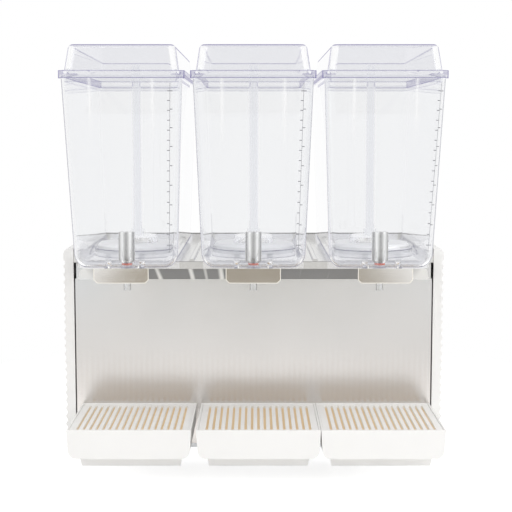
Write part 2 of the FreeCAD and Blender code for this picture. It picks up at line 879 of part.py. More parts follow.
def make_hubs():
    """Make the cooling hubs, each with its spray pump."""
    rim = "hub_radius + hub_flange"
    evaporator = turn("evaporator", [
        ("0", "hub_top + hub_pin_rise"), ("hub_pin_radius", "hub_top + hub_pin_rise"),
        ("hub_pin_radius", "hub_top"), ("hub_radius - hub_bevel", "hub_top"),
        ("hub_radius", "hub_top - hub_bevel"), ("hub_radius", "deck_under"), (rim, "deck_under"),
        (rim, "deck_under - hub_flange_thick"), ("hub_radius", "deck_under - hub_flange_thick"),
        ("hub_radius", "hub_low"), ("magnet_well", "hub_low"),
        ("magnet_well", "hub_top - hub_roof"), ("0", "hub_top - hub_roof")])
    keep_each("evaporator", evaporator, PLACES, "hub_back")
    keep_each("pump_cover", pump_cover_solid(), PLACES, "hub_back")
    tube = turn("tube", rectangle("tube_radius - tube_wall", "tube_radius", "pump_roof",
                                  "tube_top"))
    notch = carve(tube, "front", "0", f"tube_radius + {PAST}",
                  rectangle("-tube_notch_half", "tube_notch_half", "tube_top - tube_notch_drop",
                            "tube_top"))
    repeat_round(tube, notch, "V_Axis", "tube_notches")
    keep_each("spray_tube", tube, PLACES, "hub_back")
    keep_each("impeller", impeller_solid(), PLACES, "hub_back")
    magnet_low = "magnet_top - magnet_thick"
    magnet = turn("magnet", [
        ("0", "motor_top - shaft_hold"), ("magnet_shaft", "motor_top - shaft_hold"),
        ("magnet_shaft", magnet_low), ("magnet_radius", magnet_low),
        ("magnet_radius", "magnet_top"), ("0", "magnet_top")])
    keep_each("drive_magnet", magnet, PLACES, "hub_back")


def pump_cover_solid():
    """Make a pump cover: cap with inlet windows, and the socket that holds the spray tube."""
    inner = "pump_cover_radius - pump_cover_wall"
    bore = "tube_radius + turn_gap"
    socket_top = "pump_roof + socket_rise"
    body = turn("pump_cover", [
        (inner, "hub_top"), ("pump_cover_radius", "hub_top"),
        ("pump_cover_radius", "pump_roof - pump_cover_bevel"),
        ("pump_cover_radius - pump_cover_bevel", "pump_roof"),
        (f"{bore} + socket_wall", "pump_roof"), (f"{bore} + socket_wall", socket_top),
        (bore, socket_top), (bore, "pump_roof"), ("tube_radius - tube_wall", "pump_roof"),
        ("tube_radius - tube_wall", "pump_roof - pump_cover_wall"),
        (inner, "pump_roof - pump_cover_wall")])
    window = carve(body, "front", "0", f"pump_cover_radius + {PAST}",
                   rectangle("-pump_window_half", "pump_window_half", "hub_top",
                             "hub_top + pump_window_rise"))
    repeat_round(body, window, "V_Axis", "pump_windows")
    return body


def impeller_solid():
    """Make an impeller: disc with straight vanes and a bore for the hub's pin."""
    body = new_body("impeller")
    low = "hub_top + fit_gap"
    disc_top = f"{low} + impeller_disc"
    slab(body, "top", low, disc_top, ("0", "0", "impeller_radius"))
    vane = slab(body, "front", "hub_pin_radius + vane_thick", "impeller_radius - vane_inset",
                rectangle("-vane_thick / 2", "vane_thick / 2", f"{low} + impeller_disc / 2",
                          f"{disc_top} + impeller_vane"))
    repeat_round(body, vane, "V_Axis", "vane_count")
    carve(body, "top", "hub_top", f"{disc_top} + impeller_vane + {PAST}",
          ("0", "0", "hub_pin_radius + turn_gap"))
    return body


def make_pump_motors():
    """Make the three pump motors and the three gaskets round the hubs."""
    bore = "magnet_shaft + turn_gap"
    depth = "motor_top - shaft_hold - seam_gap"
    flange_low = "motor_top - motor_flange_thick"
    motor = turn("motor", [
        ("0", "motor_low"), ("motor_radius", "motor_low"), ("motor_radius", flange_low),
        ("motor_flange", flange_low), ("motor_flange", "motor_top"), (bore, "motor_top"),
        (bore, depth), ("0", depth)])
    gasket = turn("gasket", rectangle("hub_radius + fit_gap", "collar_inner - fit_gap",
                                      "deck_height", "deck_height + collar_rise"))
    for label, form in (("pump_motors", motor), ("bowl_gaskets", gasket)):
        copies = [copy_of(form, x) for x in PLACES.values()]
        keep(label, group(label + "_set", copies), "0", "hub_back")


def deck_block(name, inset, low, high):
    """Make a solid of the deck's outline, drawn in by an inset."""
    body = new_body(name)
    half = f"panel_half - ({inset})"
    root = f"overhang_root_half - ({inset})"
    tip = f"overhang_tip_half - ({inset})"
    front = f"({inset}) - deck_overhang"
    rear = f"deck_depth - ({inset})"
    right = [(tip, front), (root, inset), (half, inset), (half, rear)]
    slab(body, "top", low, high, right + mirrored(right))
    front_level = number(front)
    soften(body, f"deck_corner - ({inset})",
           lambda edge: is_upright(edge) and at_level(edge, "y", front_level))
    return body


def make_deck():
    """Make the deck: sheet with a rolled lip, raised rear and side edges, ridges and hub holes."""
    outer = deck_block("deck_outer", "0", "lip_low", "deck_height")
    inner = deck_block("deck_inner", "deck_sheet", "lip_low", "deck_under")
    additions = [block("deck_rear_edge", "-panel_half", "panel_half", "deck_depth - deck_sheet",
                       "deck_depth", "deck_under", "cabinet_top")]
    for side, sign in SIDES.items():
        left, right = span(sign, "panel_half - deck_sheet", "panel_half")
        additions.append(block(f"deck_{side}_edge", left, right, "deck_sheet", "deck_depth",
                               "deck_under", "cabinet_top"))
        additions.append(deck_ridge(f"deck_{side}_ridge", f"{sign} * bowl_pitch / 2"))
    cutters = [post(f"deck_{side}_hole", x, "hub_back", "hub_radius + seam_gap", "lip_low",
                    f"deck_height + {PAST}") for side, x in PLACES.items()]
    for x in screw_row():
        hole = new_body("deck_screw_hole")
        slab(hole, "front", f"deck_depth - deck_sheet - {PAST}", f"deck_depth + {PAST}",
             (x, "upper_screws", "screw_shank + turn_gap"))
        cutters.append(hole)
    whole = join("deck_whole", cut("deck_pan", outer, inner), *additions)
    keep("deck", cut("deck_solid", whole, *cutters))


def deck_ridge(name, middle):
    """Make the low ridge that runs front to rear between two bowls."""
    body = new_body(name)
    left = f"{middle} - ridge_width / 2"
    right = f"{middle} + ridge_width / 2"
    crest = "deck_height + ridge_rise"
    slab(body, "front", "-deck_overhang + deck_corner / 2", "deck_depth - deck_corner / 2", [
        (left, "deck_under"), (right, "deck_under"), (right, "deck_height"),
        (f"{right} - ridge_rise", crest), (f"{left} + ridge_rise", crest), (left, "deck_height")])
    return body


def make_front_panel():
    """Make the front panel: plate with two upright ears, and the soffit under the overhang."""
    plate = block("front_plate", "-front_half", "front_half", "0", "panel_sheet", "panel_bottom",
                  "panel_bend + panel_sheet")
    slope = new_body("soffit_slope")
    slab(slope, "side", "-front_half", "front_half", [
        ("0", "panel_bend"), ("-soffit_tip", "soffit_rise"),
        ("-soffit_tip", "soffit_rise + panel_sheet"), ("0", "panel_bend + panel_sheet"),
        ("panel_sheet", "panel_bend + panel_sheet"), ("panel_sheet", "panel_bend")])
    soffit = doc.addObject("Part::Common", "soffit")
    soffit.Base = slope
    soffit.Tool = deck_block("soffit_outline", "deck_sheet + fit_gap", "panel_bottom", "deck_height")
    ears = []
    for side, sign in SIDES.items():
        left, right = span(sign, "ear_half - ear_width", "ear_half")
        ears.append(block(f"{side}_ear", left, right, "0", "panel_sheet", "panel_bend",
                          "lip_low - fit_gap"))
    keep("front_panel", join("front_sheet", plate, soffit, *ears))


def make_side_panels():
    """Make the two side panels: hollow mouldings with level grooves on the outside."""
    for side, sign in SIDES.items():
        body = new_body(f"{side}_side")
        slab(body, "front", "0", "cabinet_depth",
             rectangle(*span(sign, "side_inner", "side_outer"), "0", "cabinet_top"))
        top = number("cabinet_top")
        outer = sign * number("side_outer")
        soften(body, "side_round",
               lambda edge: at_level(edge, "z", top) and at_level(edge, "x", outer))
        groove = carve(body, "front", "0", "cabinet_depth",
                       (f"{sign} * (side_outer + groove_radius - groove_depth)", "groove_start",
                        "groove_radius"))
        repeat_line(body, groove, "V_Axis",
                    "floor((lip_low - groove_start) / groove_pitch) + 1", "groove_pitch")
        carve(body, "front", "side_wall", "cabinet_depth - side_wall",
              rectangle(*span(sign, "side_inner", "side_outer - groove_depth - side_wall"),
                        "side_wall", "cabinet_top - side_wall"))
        keep(f"{side}_side_panel", body)


def make_base_pan():
    """Make the base pan: sheet tray whose front carries a hook for each drip tray."""
    body = new_body("pan")
    slab(body, "top", "0", "pan_flange",
         rectangle("-panel_half", "panel_half", "pan_front", "deck_depth"))
    carve(body, "top", "pan_sheet", f"pan_flange + {PAST}",
          rectangle("-panel_half + pan_sheet", "panel_half - pan_sheet", "pan_front + pan_sheet",
                    "deck_depth - pan_sheet"))
    for x in TRAYS.values():
        left, right = f"{x} - hook_half", f"{x} + hook_half"
        slab(body, "top", "0", "pan_sheet",
             rectangle(left, right, "-hook_front", "pan_front + pan_sheet"))
        slab(body, "top", "0", "hook_top",
             rectangle(left, right, "-hook_front", "-hook_front + pan_sheet"))
    for x in screw_row():
        carve(body, "front", f"deck_depth - pan_sheet - {PAST}", f"deck_depth + {PAST}",
              (x, "screw_inset", "screw_shank + turn_gap"))
    keep("base_pan", body)


def screw_row():
    """Give the places of one row of screws along the rear panel."""
    return ["-panel_half + screw_side", "-panel_half / 3", "panel_half / 3",
            "panel_half - screw_side"]


def screw_places():
    """Give the places of all the rear panel's screws."""
    return [(x, z) for z in ("screw_inset", "upper_screws") for x in screw_row()]


def make_rear_panel():
    """Make the rear panel, with its louvres and the cut-outs for the electrics."""
    body = new_body("rear_sheet")
    slab(body, "front", "rear_inner", "rear_outer",
         rectangle("-panel_half", "panel_half", "pan_sheet", "cabinet_top - seam_gap"))
    front = f"rear_inner - {PAST}"
    rear = f"rear_outer + {PAST}"
    louvre = carve(body, "front", front, rear,
                   rectangle("condenser_mid - louvre_width / 2", "condenser_mid + louvre_width / 2",
                             "louvre_low", "louvre_low + louvre_height"))
    repeat_line(body, louvre, "V_Axis", "louvre_count", "louvre_pitch")
    holes = [("-inlet_side", "inlet_well_width / 2 + inlet_wall + fit_gap",
              "inlet_well_tall / 2 + inlet_wall + fit_gap")]
    for x in switch_places():
        holes.append((x, "frame_width / 2 - frame_wall + fit_gap",
                      "frame_tall / 2 - frame_wall + fit_gap"))
    for x, half, rise in holes:
        carve(body, "front", front, rear,
              rectangle(f"{x} - ({half})", f"{x} + {half}", f"control_height - ({rise})",
                        f"control_height + {rise}"))
    carve(body, "front", front, rear, ("thermostat_side", "control_height", "knob_shaft + seam_gap"))
    for x, z in screw_places():
        carve(body, "front", front, rear, (x, z, "screw_shank + turn_gap"))
    keep("rear_panel", body)


def make_screws():
    """Make the rear panel's screws."""
    top = "rear_outer + screw_head_thick"
    screw = turn("screw", [
        (top, "0"), (top, "screw_head - screw_bevel"), (f"{top} - screw_bevel", "screw_head"),
        ("rear_outer", "screw_head"), ("rear_outer", "screw_shank"),
        ("rear_outer - screw_length", "screw_shank"), ("rear_outer - screw_length", "0")],
        upright=False)
    keep("screws", group("screw_set", [copy_of(screw, x, "0", z) for x, z in screw_places()]))


def make_trays():
    """Make the drip trays and their grilles."""
    body = new_body("tray")
    slab(body, "front", "-tray_front", "-tray_rear", [
        ("-tray_half + tray_draft", "tray_step"), ("tray_half - tray_draft", "tray_step"),
        ("tray_half", "tray_top"), ("-tray_half", "tray_top")])
    step = number("tray_step")
    soften(body, "tray_round", lambda edge: at_level(edge, "z", step)
           and near(ends(edge)[0].x, ends(edge)[1].x))
    carve(body, "side", "-tray_width", "tray_width", [
        ("-tray_front", "tray_top"), ("-tray_front + tray_draft", "tray_step"),
        (f"-tray_front - {PAST}", "tray_step")])
    floor_top = "tray_step + tray_wall"
    slab(body, "front", "-foot_front", "-tray_rear", [
        ("-tray_foot + foot_slope", "tray_low"), ("tray_foot - foot_slope", "tray_low"),
        ("tray_foot", floor_top), ("-tray_foot", floor_top)])
    carve(body, "top", "grille_seat", f"tray_top + {PAST}",
          rectangle("-tray_half + grille_rim", "tray_half - grille_rim",
                    "-tray_front + grille_rim", "-tray_rear - grille_rim"))
    carve(body, "top", floor_top, f"grille_seat + {PAST}",
          rectangle("-tray_half + tray_side_wall", "tray_half - tray_side_wall",
                    "-tray_front + tray_front_wall", "-tray_rear_wall"))
    sump = "tray_foot - foot_slope - tray_wall"
    carve(body, "top", "tray_low + tray_wall", f"{floor_top} + {PAST}",
          rectangle(f"-({sump})", sump, "-foot_front + tray_wall", "-tray_rear_wall"))
    carve(body, "top", f"tray_low - {PAST}", "hook_top + fit_gap",
          rectangle("-hook_half - tray_wall", "hook_half + tray_wall",
                    "-hook_front - hook_room", "-hook_front + pan_sheet + hook_room"))
    keep_each("drip_tray", body, TRAYS)
    keep_each("tray_grille", grille_solid(), TRAYS)


def grille_solid():
    """Make a tray grille: flat plate with a row of slots from front to rear."""
    body = new_body("grille")
    half = "tray_half - grille_rim - fit_gap"
    slab(body, "top", "grille_seat", "grille_seat + grille_thick",
         rectangle(f"-({half})", half, "-tray_front + grille_rim + fit_gap",
                   "-tray_rear - grille_rim - fit_gap"))
    field = "2 * (tray_half - grille_rim - grille_margin)"
    count = f"(floor(({field} - grille_slot) / grille_pitch) + 1)"
    first = f"-grille_pitch * ({count} - 1) / 2"
    slot = carve(body, "top", f"grille_seat - {PAST}", "tray_top",
                 rectangle(f"{first} - grille_slot / 2", f"{first} + grille_slot / 2",
                           "-tray_front + grille_rim + grille_margin", "-grille_rear_margin"))
    repeat_line(body, slot, "H_Axis", count, "grille_pitch")
    return body


def make_compressor():
    """Make the hermetic compressor on its foot plate."""
    low = "pan_top + compressor_lift"
    body = turn("compressor_can", [
        ("0", low), ("compressor_radius", low), ("compressor_radius", "compressor_top"),
        ("0", "compressor_top")])
    soften(body, "compressor_round", lambda edge: len(edge.Vertexes) == 1)
    slab(body, "top", f"{low} - pan_sheet", f"{low} - pan_sheet + mount_plate_thick",
         rectangle("-mount_plate_half", "mount_plate_half", "-mount_plate_depth / 2",
                   "mount_plate_depth / 2"))
    for sign in SIDES.values():
        for other in SIDES.values():
            slab(body, "top", "pan_top", low,
                 (f"{sign} * (mount_plate_half - mount_inset)",
                  f"{other} * (mount_plate_depth / 2 - mount_inset)", "mount_radius"))
    slab(body, "front", "-compressor_radius - terminal_reach", "0",
         rectangle("-terminal_width / 2", "terminal_width / 2", "terminal_low",
                   "terminal_low + terminal_height"))
    keep("compressor", body, "-compressor_side", "compressor_back")


def make_condenser():
    """Make the condenser: upright fins on level pipes, standing on its two end fins."""
    body = new_body("condenser_core")
    rear = "condenser_rear"
    right = "condenser_left + condenser_width"
    top = "condenser_low + condenser_height"
    fins = "floor(condenser_width / fin_pitch)"
    rows = "floor((condenser_height - 2 * pipe_inset) / pipe_pitch) + 1"
    pipe_left = "condenser_left - pipe_reach"
    pipe_right = f"{right} + pipe_reach"
    for y in ("front_pipes", "rear_pipes"):
        pipe = slab(body, "side", pipe_left, pipe_right, (y, "first_pipe", "pipe_radius"))
        repeat_line(body, pipe, "V_Axis", rows, "pipe_pitch")
        if y == "front_pipes":
            fin = slab(body, "front", "condenser_front", rear,
                       rectangle("condenser_left", "condenser_left + fin_thick", "condenser_low",
                                 top))
            repeat_line(body, fin, "H_Axis", fins, "fin_pitch")
    for left in ("condenser_left", f"{right} - fin_thick"):
        slab(body, "front", "condenser_front", rear,
             rectangle(left, f"{left} + fin_thick", "pan_top", top))
    keep("condenser", body)


def make_fan():
    """Make the condenser fan, and its motor on a bracket."""
    bore = "fan_shaft + turn_gap"
    hub = turn("fan_boss", [
        ("0", bore), ("0", "fan_hub - fan_hub_bevel"), ("fan_hub_bevel", "fan_hub"),
        ("fan_hub_length", "fan_hub"), ("fan_hub_length", bore)], upright=False)
    blades = [fan_blade(share) for share in range(int(number("blade_count")))]
    sweep = turn("fan_sweep", [
        (f"-{PAST}", "fan_hub - blade_root"), (f"-{PAST}", "fan_radius"),
        (f"fan_hub_length + {PAST}", "fan_radius"),
        (f"fan_hub_length + {PAST}", "fan_hub - blade_root")], upright=False)
    trimmed = doc.addObject("Part::Common", "fan_blades")
    trimmed.Base = join("fan_blade_set", *blades)
    trimmed.Tool = sweep
    keep("condenser_fan", join("fan_wheel", hub, trimmed), "condenser_mid", "fan_front",
         "fan_height")
    keep("fan_motor", fan_motor_solid(), "condenser_mid", "fan_front - fan_shaft", "fan_height")


def fan_blade(share):
    """Make one fan blade, pitched and set round the hub by its share of a turn."""
    blade = doc.addObject("Part::Box", f"blade_{share}")
    bind(blade, "Length", "fan_radius - fan_hub / 2")
    bind(blade, "Width", "blade_thick")
    bind(blade, "Height", "blade_chord")
    pitch = FreeCAD.Rotation(FreeCAD.Vector(1, 0, 0), number("blade_pitch"))
    around = FreeCAD.Rotation(FreeCAD.Vector(0, 1, 0), 360 * share / number("blade_count"))
    corner = FreeCAD.Vector(number("fan_hub / 2"), number("-blade_thick / 2"),
                            number("-blade_chord / 2"))
    centre = FreeCAD.Vector(0, number("fan_hub_length / 2"), 0)
    turned = around * pitch
    blade.Placement = FreeCAD.Placement(centre + turned.multVec(corner), turned)
    return blade


def fan_motor_solid():
    """Make the fan motor: can, shaft and the bracket that stands on the base pan."""
    length = "-fan_motor_length"
    radius = "fan_motor_radius"
    bevelled = "fan_motor_radius - fan_motor_bevel"
    body = turn("fan_motor_can", [
        (length, "0"), (length, bevelled), (f"{length} + fan_motor_bevel", radius),
        ("-fan_motor_bevel", radius), ("0", bevelled), ("0", "fan_shaft"),
        ("fan_hub_length", "fan_shaft"), ("fan_hub_length", "0")], upright=False)
    low = "pan_top - fan_height"
    middle = "-fan_motor_length / 2"
    slab(body, "top", low, "-fan_motor_radius / 2",
         rectangle("-fan_bracket_half", "fan_bracket_half", f"{middle} - fan_bracket_sheet",
                   middle))
    slab(body, "top", low, f"{low} + fan_bracket_sheet",
         rectangle("-fan_bracket_half", "fan_bracket_half", length, middle))
    return body


def make_lines():
    """Make the refrigerant lines, one round tube along each route."""
    tubes = [tube_along(points) for points in line_routes()]
    lines = doc.addObject("Part::Feature", "refrigerant_tube_set")
    lines.Shape = Part.makeCompound(tubes)
    keep("refrigerant_lines", lines)


def line_routes():
    """Give the corner points of each refrigerant line, as numbers."""
    left = number("-compressor_side")
    back = number("compressor_back")
    top = number("compressor_top")
    side = number("line_side")
    rise = number("line_rise")
    drop = number("line_drop")
    port = number("line_port")
    condenser_x = number("condenser_left - pipe_reach - line_radius")
    condenser_y = number("front_pipes")
    first_z = number("first_pipe")
    upper_z = number("first_pipe + 3 * pipe_pitch")
    under = number("motor_low") - drop
    hub_y = number("hub_back")
    hub_z = number("hub_low")
    far_y = hub_y + port
    pitch = number("bowl_pitch")
    over = top + rise
    turn_x = condenser_x - rise
    feed_x = condenser_x - 2 * rise
    feed_y = far_y + rise
    hot = [(left + side, back, top), (left + side, back, over), (turn_x, back, over),
           (turn_x, condenser_y, over), (turn_x, condenser_y, upper_z),
           (condenser_x, condenser_y, upper_z)]
    feed = [(condenser_x, condenser_y, first_z), (feed_x, condenser_y, first_z),
            (feed_x, condenser_y, under), (feed_x, feed_y, under), (pitch, feed_y, under),
            (pitch, feed_y, hub_z - drop), (pitch, far_y, hub_z - drop), (pitch, far_y, hub_z)]
    links = [[(x, hub_y, hub_z), (x, hub_y, hub_z - drop), (x - pitch + 2 * port, hub_y, hub_z - drop),
              (x - pitch + 2 * port, hub_y, hub_z)] for x in (pitch - port, -port)]
    back_line = [(-pitch, far_y, hub_z), (-pitch, far_y, under), (left - side, far_y, under),
                 (left - side, back, under), (left - side, back, top)]
    return [hot, feed, *links, back_line]


def tube_along(points):
    """Sweep a round section along runs joined by tangent bends."""
    radius = number("line_radius")
    bend = number("line_bend")
    spots = [FreeCAD.Vector(*point) for point in points]
    edges = []
    start = spots[0]
    for before, corner, after in zip(spots, spots[1:], spots[2:]):
        inward = (before - corner).normalize()
        outward = (after - corner).normalize()
        size = min(bend, (before - corner).Length / 2.2, (after - corner).Length / 2.2)
        entry = corner + inward * size
        leave = corner + outward * size
        half = inward.getAngle(outward) / 2
        bend_radius = size * math.tan(half)
        centre = corner + (inward + outward).normalize() * (bend_radius / math.sin(half))
        middle = centre + (corner - centre).normalize() * bend_radius
        edges.append(Part.LineSegment(start, entry).toShape())
        edges.append(Part.Arc(entry, middle, leave).toShape())
        start = leave
    edges.append(Part.LineSegment(start, spots[-1]).toShape())
    heading = (spots[1] - spots[0]).normalize()
    ring = Part.Wire([Part.Circle(spots[0], heading, radius).toShape()])
    return Part.Wire(edges).makePipeShell([ring], True, False)


def switch_places():
    """Give the two switches' places along the rear panel."""
    return ["-switch_side", "-switch_side + switch_pitch"]


def make_electrics():
    """Make the switches, thermostat, knob and power inlet on the rear panel."""
    frame = switch_frame_solid()
    copies = [copy_of(frame, x, "0", "control_height") for x in switch_places()]
    keep("switch_frames", group("frame_set", copies))
    for label, x in zip(("power_switch", "pump_switch"), switch_places()):
        rocker = new_body(label + "_rocker")
        slab(rocker, "side", "-rocker_half_width", "rocker_half_width", [
            ("rocker_crest", "-rocker_half_tall"), ("rocker_dip", "0"),
            ("rocker_crest", "rocker_half_tall"), ("0", "rocker_half_tall"),
            ("-rocker_back", "0"), ("0", "-rocker_half_tall")])
        keep(label, rocker, x, "rear_outer", "control_height")
        rocker.Placement.Rotation = FreeCAD.Rotation(FreeCAD.Vector(1, 0, 0), number("rocker_tilt"))
    case = new_body("thermostat_case")
    half = "thermostat_width / 2"
    slab(case, "front", "rear_inner - fit_gap - thermostat_depth", "rear_inner - fit_gap",
         rectangle(f"-{half}", half, "-thermostat_tall / 2", "thermostat_tall / 2"))
    slab(case, "front", "rear_inner - thermostat_depth", "rear_outer + knob_shaft_reach",
         ("0", "0", "knob_shaft"))
    keep("thermostat", case, "thermostat_side", "0", "control_height")
    keep("thermostat_knob", knob_solid(), "thermostat_side", "0", "control_height")
    keep("power_inlet", inlet_solid(), "-inlet_side", "0", "control_height")


def switch_frame_solid():
    """Make the frame of one rocker switch."""
    body = new_body("switch_frame")
    slab(body, "front", "rear_outer", "rear_outer + frame_flange",
         rectangle("-frame_width / 2", "frame_width / 2", "-frame_tall / 2", "frame_tall / 2"))
    slab(body, "front", "rear_outer - frame_depth", "rear_outer",
         rectangle("-frame_width / 2 + frame_wall", "frame_width / 2 - frame_wall",
                   "-frame_tall / 2 + frame_wall", "frame_tall / 2 - frame_wall"))
    carve(body, "front", "rear_outer - frame_depth / 2", f"rear_outer + frame_flange + {PAST}",
          rectangle("-rocker_half_width - fit_gap", "rocker_half_width + fit_gap",
                    "-rocker_half_tall - frame_wall", "rocker_half_tall + frame_wall"))
    return body


def knob_solid():
    """Make the thermostat's knob, with a pointer groove in its face."""
    end = "rear_outer + knob_length"
    bore = "knob_shaft + turn_gap"
    bottom = "rear_outer + knob_shaft_reach + fit_gap"
    body = turn("knob", [
        ("rear_outer + fit_gap", bore), ("rear_outer + fit_gap", "knob_radius"),
        (f"{end} - knob_bevel", "knob_radius"), (end, "knob_radius - knob_bevel"), (end, "0"),
        (bottom, "0"), (bottom, bore)], upright=False)
    carve(body, "front", f"{end} - knob_bevel", f"{end} + {PAST}",
          rectangle("-knob_mark_half", "knob_mark_half", "0", "knob_radius"))
    return body


def inlet_solid():
    """Make the power inlet: flange, well and three contacts."""
    body = new_body("inlet")
    half = "inlet_well_width / 2"
    rise = "inlet_well_tall / 2"
    floor = "rear_outer - inlet_depth + inlet_wall"
    slab(body, "front", "rear_outer", "rear_outer + inlet_flange",
         rectangle("-inlet_width / 2", "inlet_width / 2", "-inlet_tall / 2", "inlet_tall / 2"))
    slab(body, "front", "rear_outer - inlet_depth", "rear_outer",
         rectangle(f"-{half} - inlet_wall", f"{half} + inlet_wall", f"-{rise} - inlet_wall",
                   f"{rise} + inlet_wall"))
    carve(body, "front", floor, f"rear_outer + inlet_flange + {PAST}",
          rectangle(f"-{half}", half, f"-{rise}", rise))
    for step, lift in ((-1, "-contact_tall"), (0, "contact_step - contact_tall"),
                       (1, "-contact_tall")):
        x = f"{step} * contact_pitch"
        slab(body, "front", f"{floor} - inlet_wall / 2", "rear_outer - contact_short",
             rectangle(f"{x} - contact_half", f"{x} + contact_half", lift,
                       f"{lift} + contact_tall"))
    return body


def make_feet():
    """Make the four feet."""
    foot = turn("foot", [("0", "-foot_height"), ("foot_radius - foot_taper", "-foot_height"),
                         ("foot_radius", "0"), ("0", "0")])
    copies = []
    for sign in SIDES.values():
        for y in ("pan_front + foot_inset_end", "deck_depth - foot_inset_end"):
            copies.append(copy_of(foot, f"{sign} * (panel_half - foot_inset_side)", y))
    keep("feet", group("foot_set", copies))


def check_and_write():
    """See that every object is sound, then write one file for each piece."""
    doc.recompute()
    broken = [item.Name for item in doc.Objects if "Invalid" in item.State or "Error" in item.State]
    if broken:
        raise RuntimeError(f"these did not build: {broken}")
    os.makedirs("parts", exist_ok=True)
    for label, item in nodes.items():
        shape = item.Shape
        if shape.isNull() or not shape.isValid() or not shape.Solids:
            raise RuntimeError(f"{label} has no sound solid")
        solids = shape.Solids
        whole = solids[0] if len(solids) == 1 else Part.makeCompound(solids)
        whole.exportStep(os.path.join("parts", label + ".step"))
        print(f"{label}: {len(solids)} solid(s), {shape.Volume / 1000:.1f} cm3")


def main():
    """Build the dispenser."""
    fill_sheet()
    make_bowls()
    make_hubs()
    make_pump_motors()
    make_deck()
    make_front_panel()
    make_side_panels()
    make_base_pan()
    make_rear_panel()
    make_screws()
    make_trays()
    make_compressor()
    make_condenser()
    make_fan()
    make_lines()
    make_electrics()
    make_feet()
    check_and_write()


main()
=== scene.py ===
"""Finishes, printed scales and studio for a cold drink dispenser with three clear bowls.

Every length is in metres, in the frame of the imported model: X to the right, Y to the rear, Z up.
"""
import json
from functools import partial
from math import radians, tau

import bmesh
import bpy
from bpy.props import FloatProperty, FloatVectorProperty, IntProperty, PointerProperty
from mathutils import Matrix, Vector


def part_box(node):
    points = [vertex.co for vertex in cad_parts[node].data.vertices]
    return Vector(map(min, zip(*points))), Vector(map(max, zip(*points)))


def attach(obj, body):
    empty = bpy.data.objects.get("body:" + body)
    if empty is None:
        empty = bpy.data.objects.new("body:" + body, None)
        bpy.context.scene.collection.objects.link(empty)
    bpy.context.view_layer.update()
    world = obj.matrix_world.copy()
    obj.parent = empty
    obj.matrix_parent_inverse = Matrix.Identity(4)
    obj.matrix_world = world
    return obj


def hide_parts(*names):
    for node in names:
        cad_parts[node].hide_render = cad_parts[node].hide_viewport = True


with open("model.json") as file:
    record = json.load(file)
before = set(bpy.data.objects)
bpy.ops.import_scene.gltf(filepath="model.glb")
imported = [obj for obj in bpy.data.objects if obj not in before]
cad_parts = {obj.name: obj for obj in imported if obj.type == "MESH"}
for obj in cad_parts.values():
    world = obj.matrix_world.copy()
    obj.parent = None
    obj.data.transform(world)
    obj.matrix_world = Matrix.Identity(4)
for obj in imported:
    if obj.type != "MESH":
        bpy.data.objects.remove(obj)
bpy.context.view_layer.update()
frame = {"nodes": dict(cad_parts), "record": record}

bl_info = {
    "name": "Cold drink dispenser",
    "version": (1, 0, 0),
    "blender": (4, 5, 0),
    "location": "3D View > Sidebar > Dispenser",
    "description": "Finishes and studio for a cold drink dispenser with three clear bowls",
    "category": "Object",
}

NODES = frame["nodes"]
RECORD = frame["record"]
PLACES = ("left", "centre", "right")
BODY_OF = {node: body for body, members in RECORD["behaviour"]["bodies"].items()
           for node in members}
SHARP = radians(32)
BEVELLED = radians(40)
ALMOST_FLAT = radians(0.15)
SAME_POINT, NO_LENGTH = 2e-6, 1e-6
INK_LIFT = 0.0001
LAMPS_AIM = Vector((0.0, 0.0, 0.3))
NUMBER = "NodeSocketFloat"
WHITE = (1, 1, 1, 1)
BLACK = (0, 0, 0, 1)

# Brushed and turned metal: scales of the noise, and how far it is drawn out along the lines
FINE_LINES = 2600.0
COARSE_LINES = 420.0
TURNED_RINGS = 900.0
ALONG_X, ALONG_Y, ALONG_Z = (0.012, 1, 1), (1, 0.012, 1), (1, 1, 0.012)
ROUND_Z = (0.02, 0.02, 1)

# Clear plastic: parts of a face's normal that decide where painted edge shade is drawn, then
# numbers of bounces past which a painted pale glow takes over
SQUARE_ACROSS, SQUARE_UP = 0.987, 0.96  # a face this square to an axis has no edge line
FRONT_FACE, UPRIGHT_FACE = -0.97, 0.975
MANY_WALLS, MIRRORED_TWICE = 6.5, 1.5

# Half heights and distances of the painted shade lines and painted highlights on bowls, lids and
# deck, in metres
COLLAR_LINE = 0.0014
FLANGE_LINE = 0.0012
FLANGE_GAP = 0.002
FAR_FROM_HUB = 0.12
REAR_ROLL, REAR_RIDGE = 0.004, 0.0022

# Tones of the front sheet and the deck, apart from their own, among them painted shade and painted
# reflections
# Painted shade: the sheet's right side is darker
PANEL_RIGHT_SHADE = (0.62, 0.615, 0.60, 1)
PANEL_WARM = (0.80, 0.785, 0.77, 1)
PANEL_COOL = (0.68, 0.70, 0.72, 1)
PANEL_LEFT = (0.62, 0.65, 0.67, 1)
# Painted shade: the sheet is darker low down
PANEL_LOW_SHADE = (0.60, 0.57, 0.545, 1)
# Painted reflection of the tray slots in the sheet
MIRRORED_SLOTS = (0.50, 0.41, 0.32, 1)
DECK_COVERED = (0.93, 0.93, 0.95, 1)
# Painted shadow lines along the deck's rolled edges
DECK_ROLL_SHADOW = (0.16, 0.155, 0.15, 1)


# Node graphs: a Wire is one socket's value, and arithmetic on it adds Math nodes.

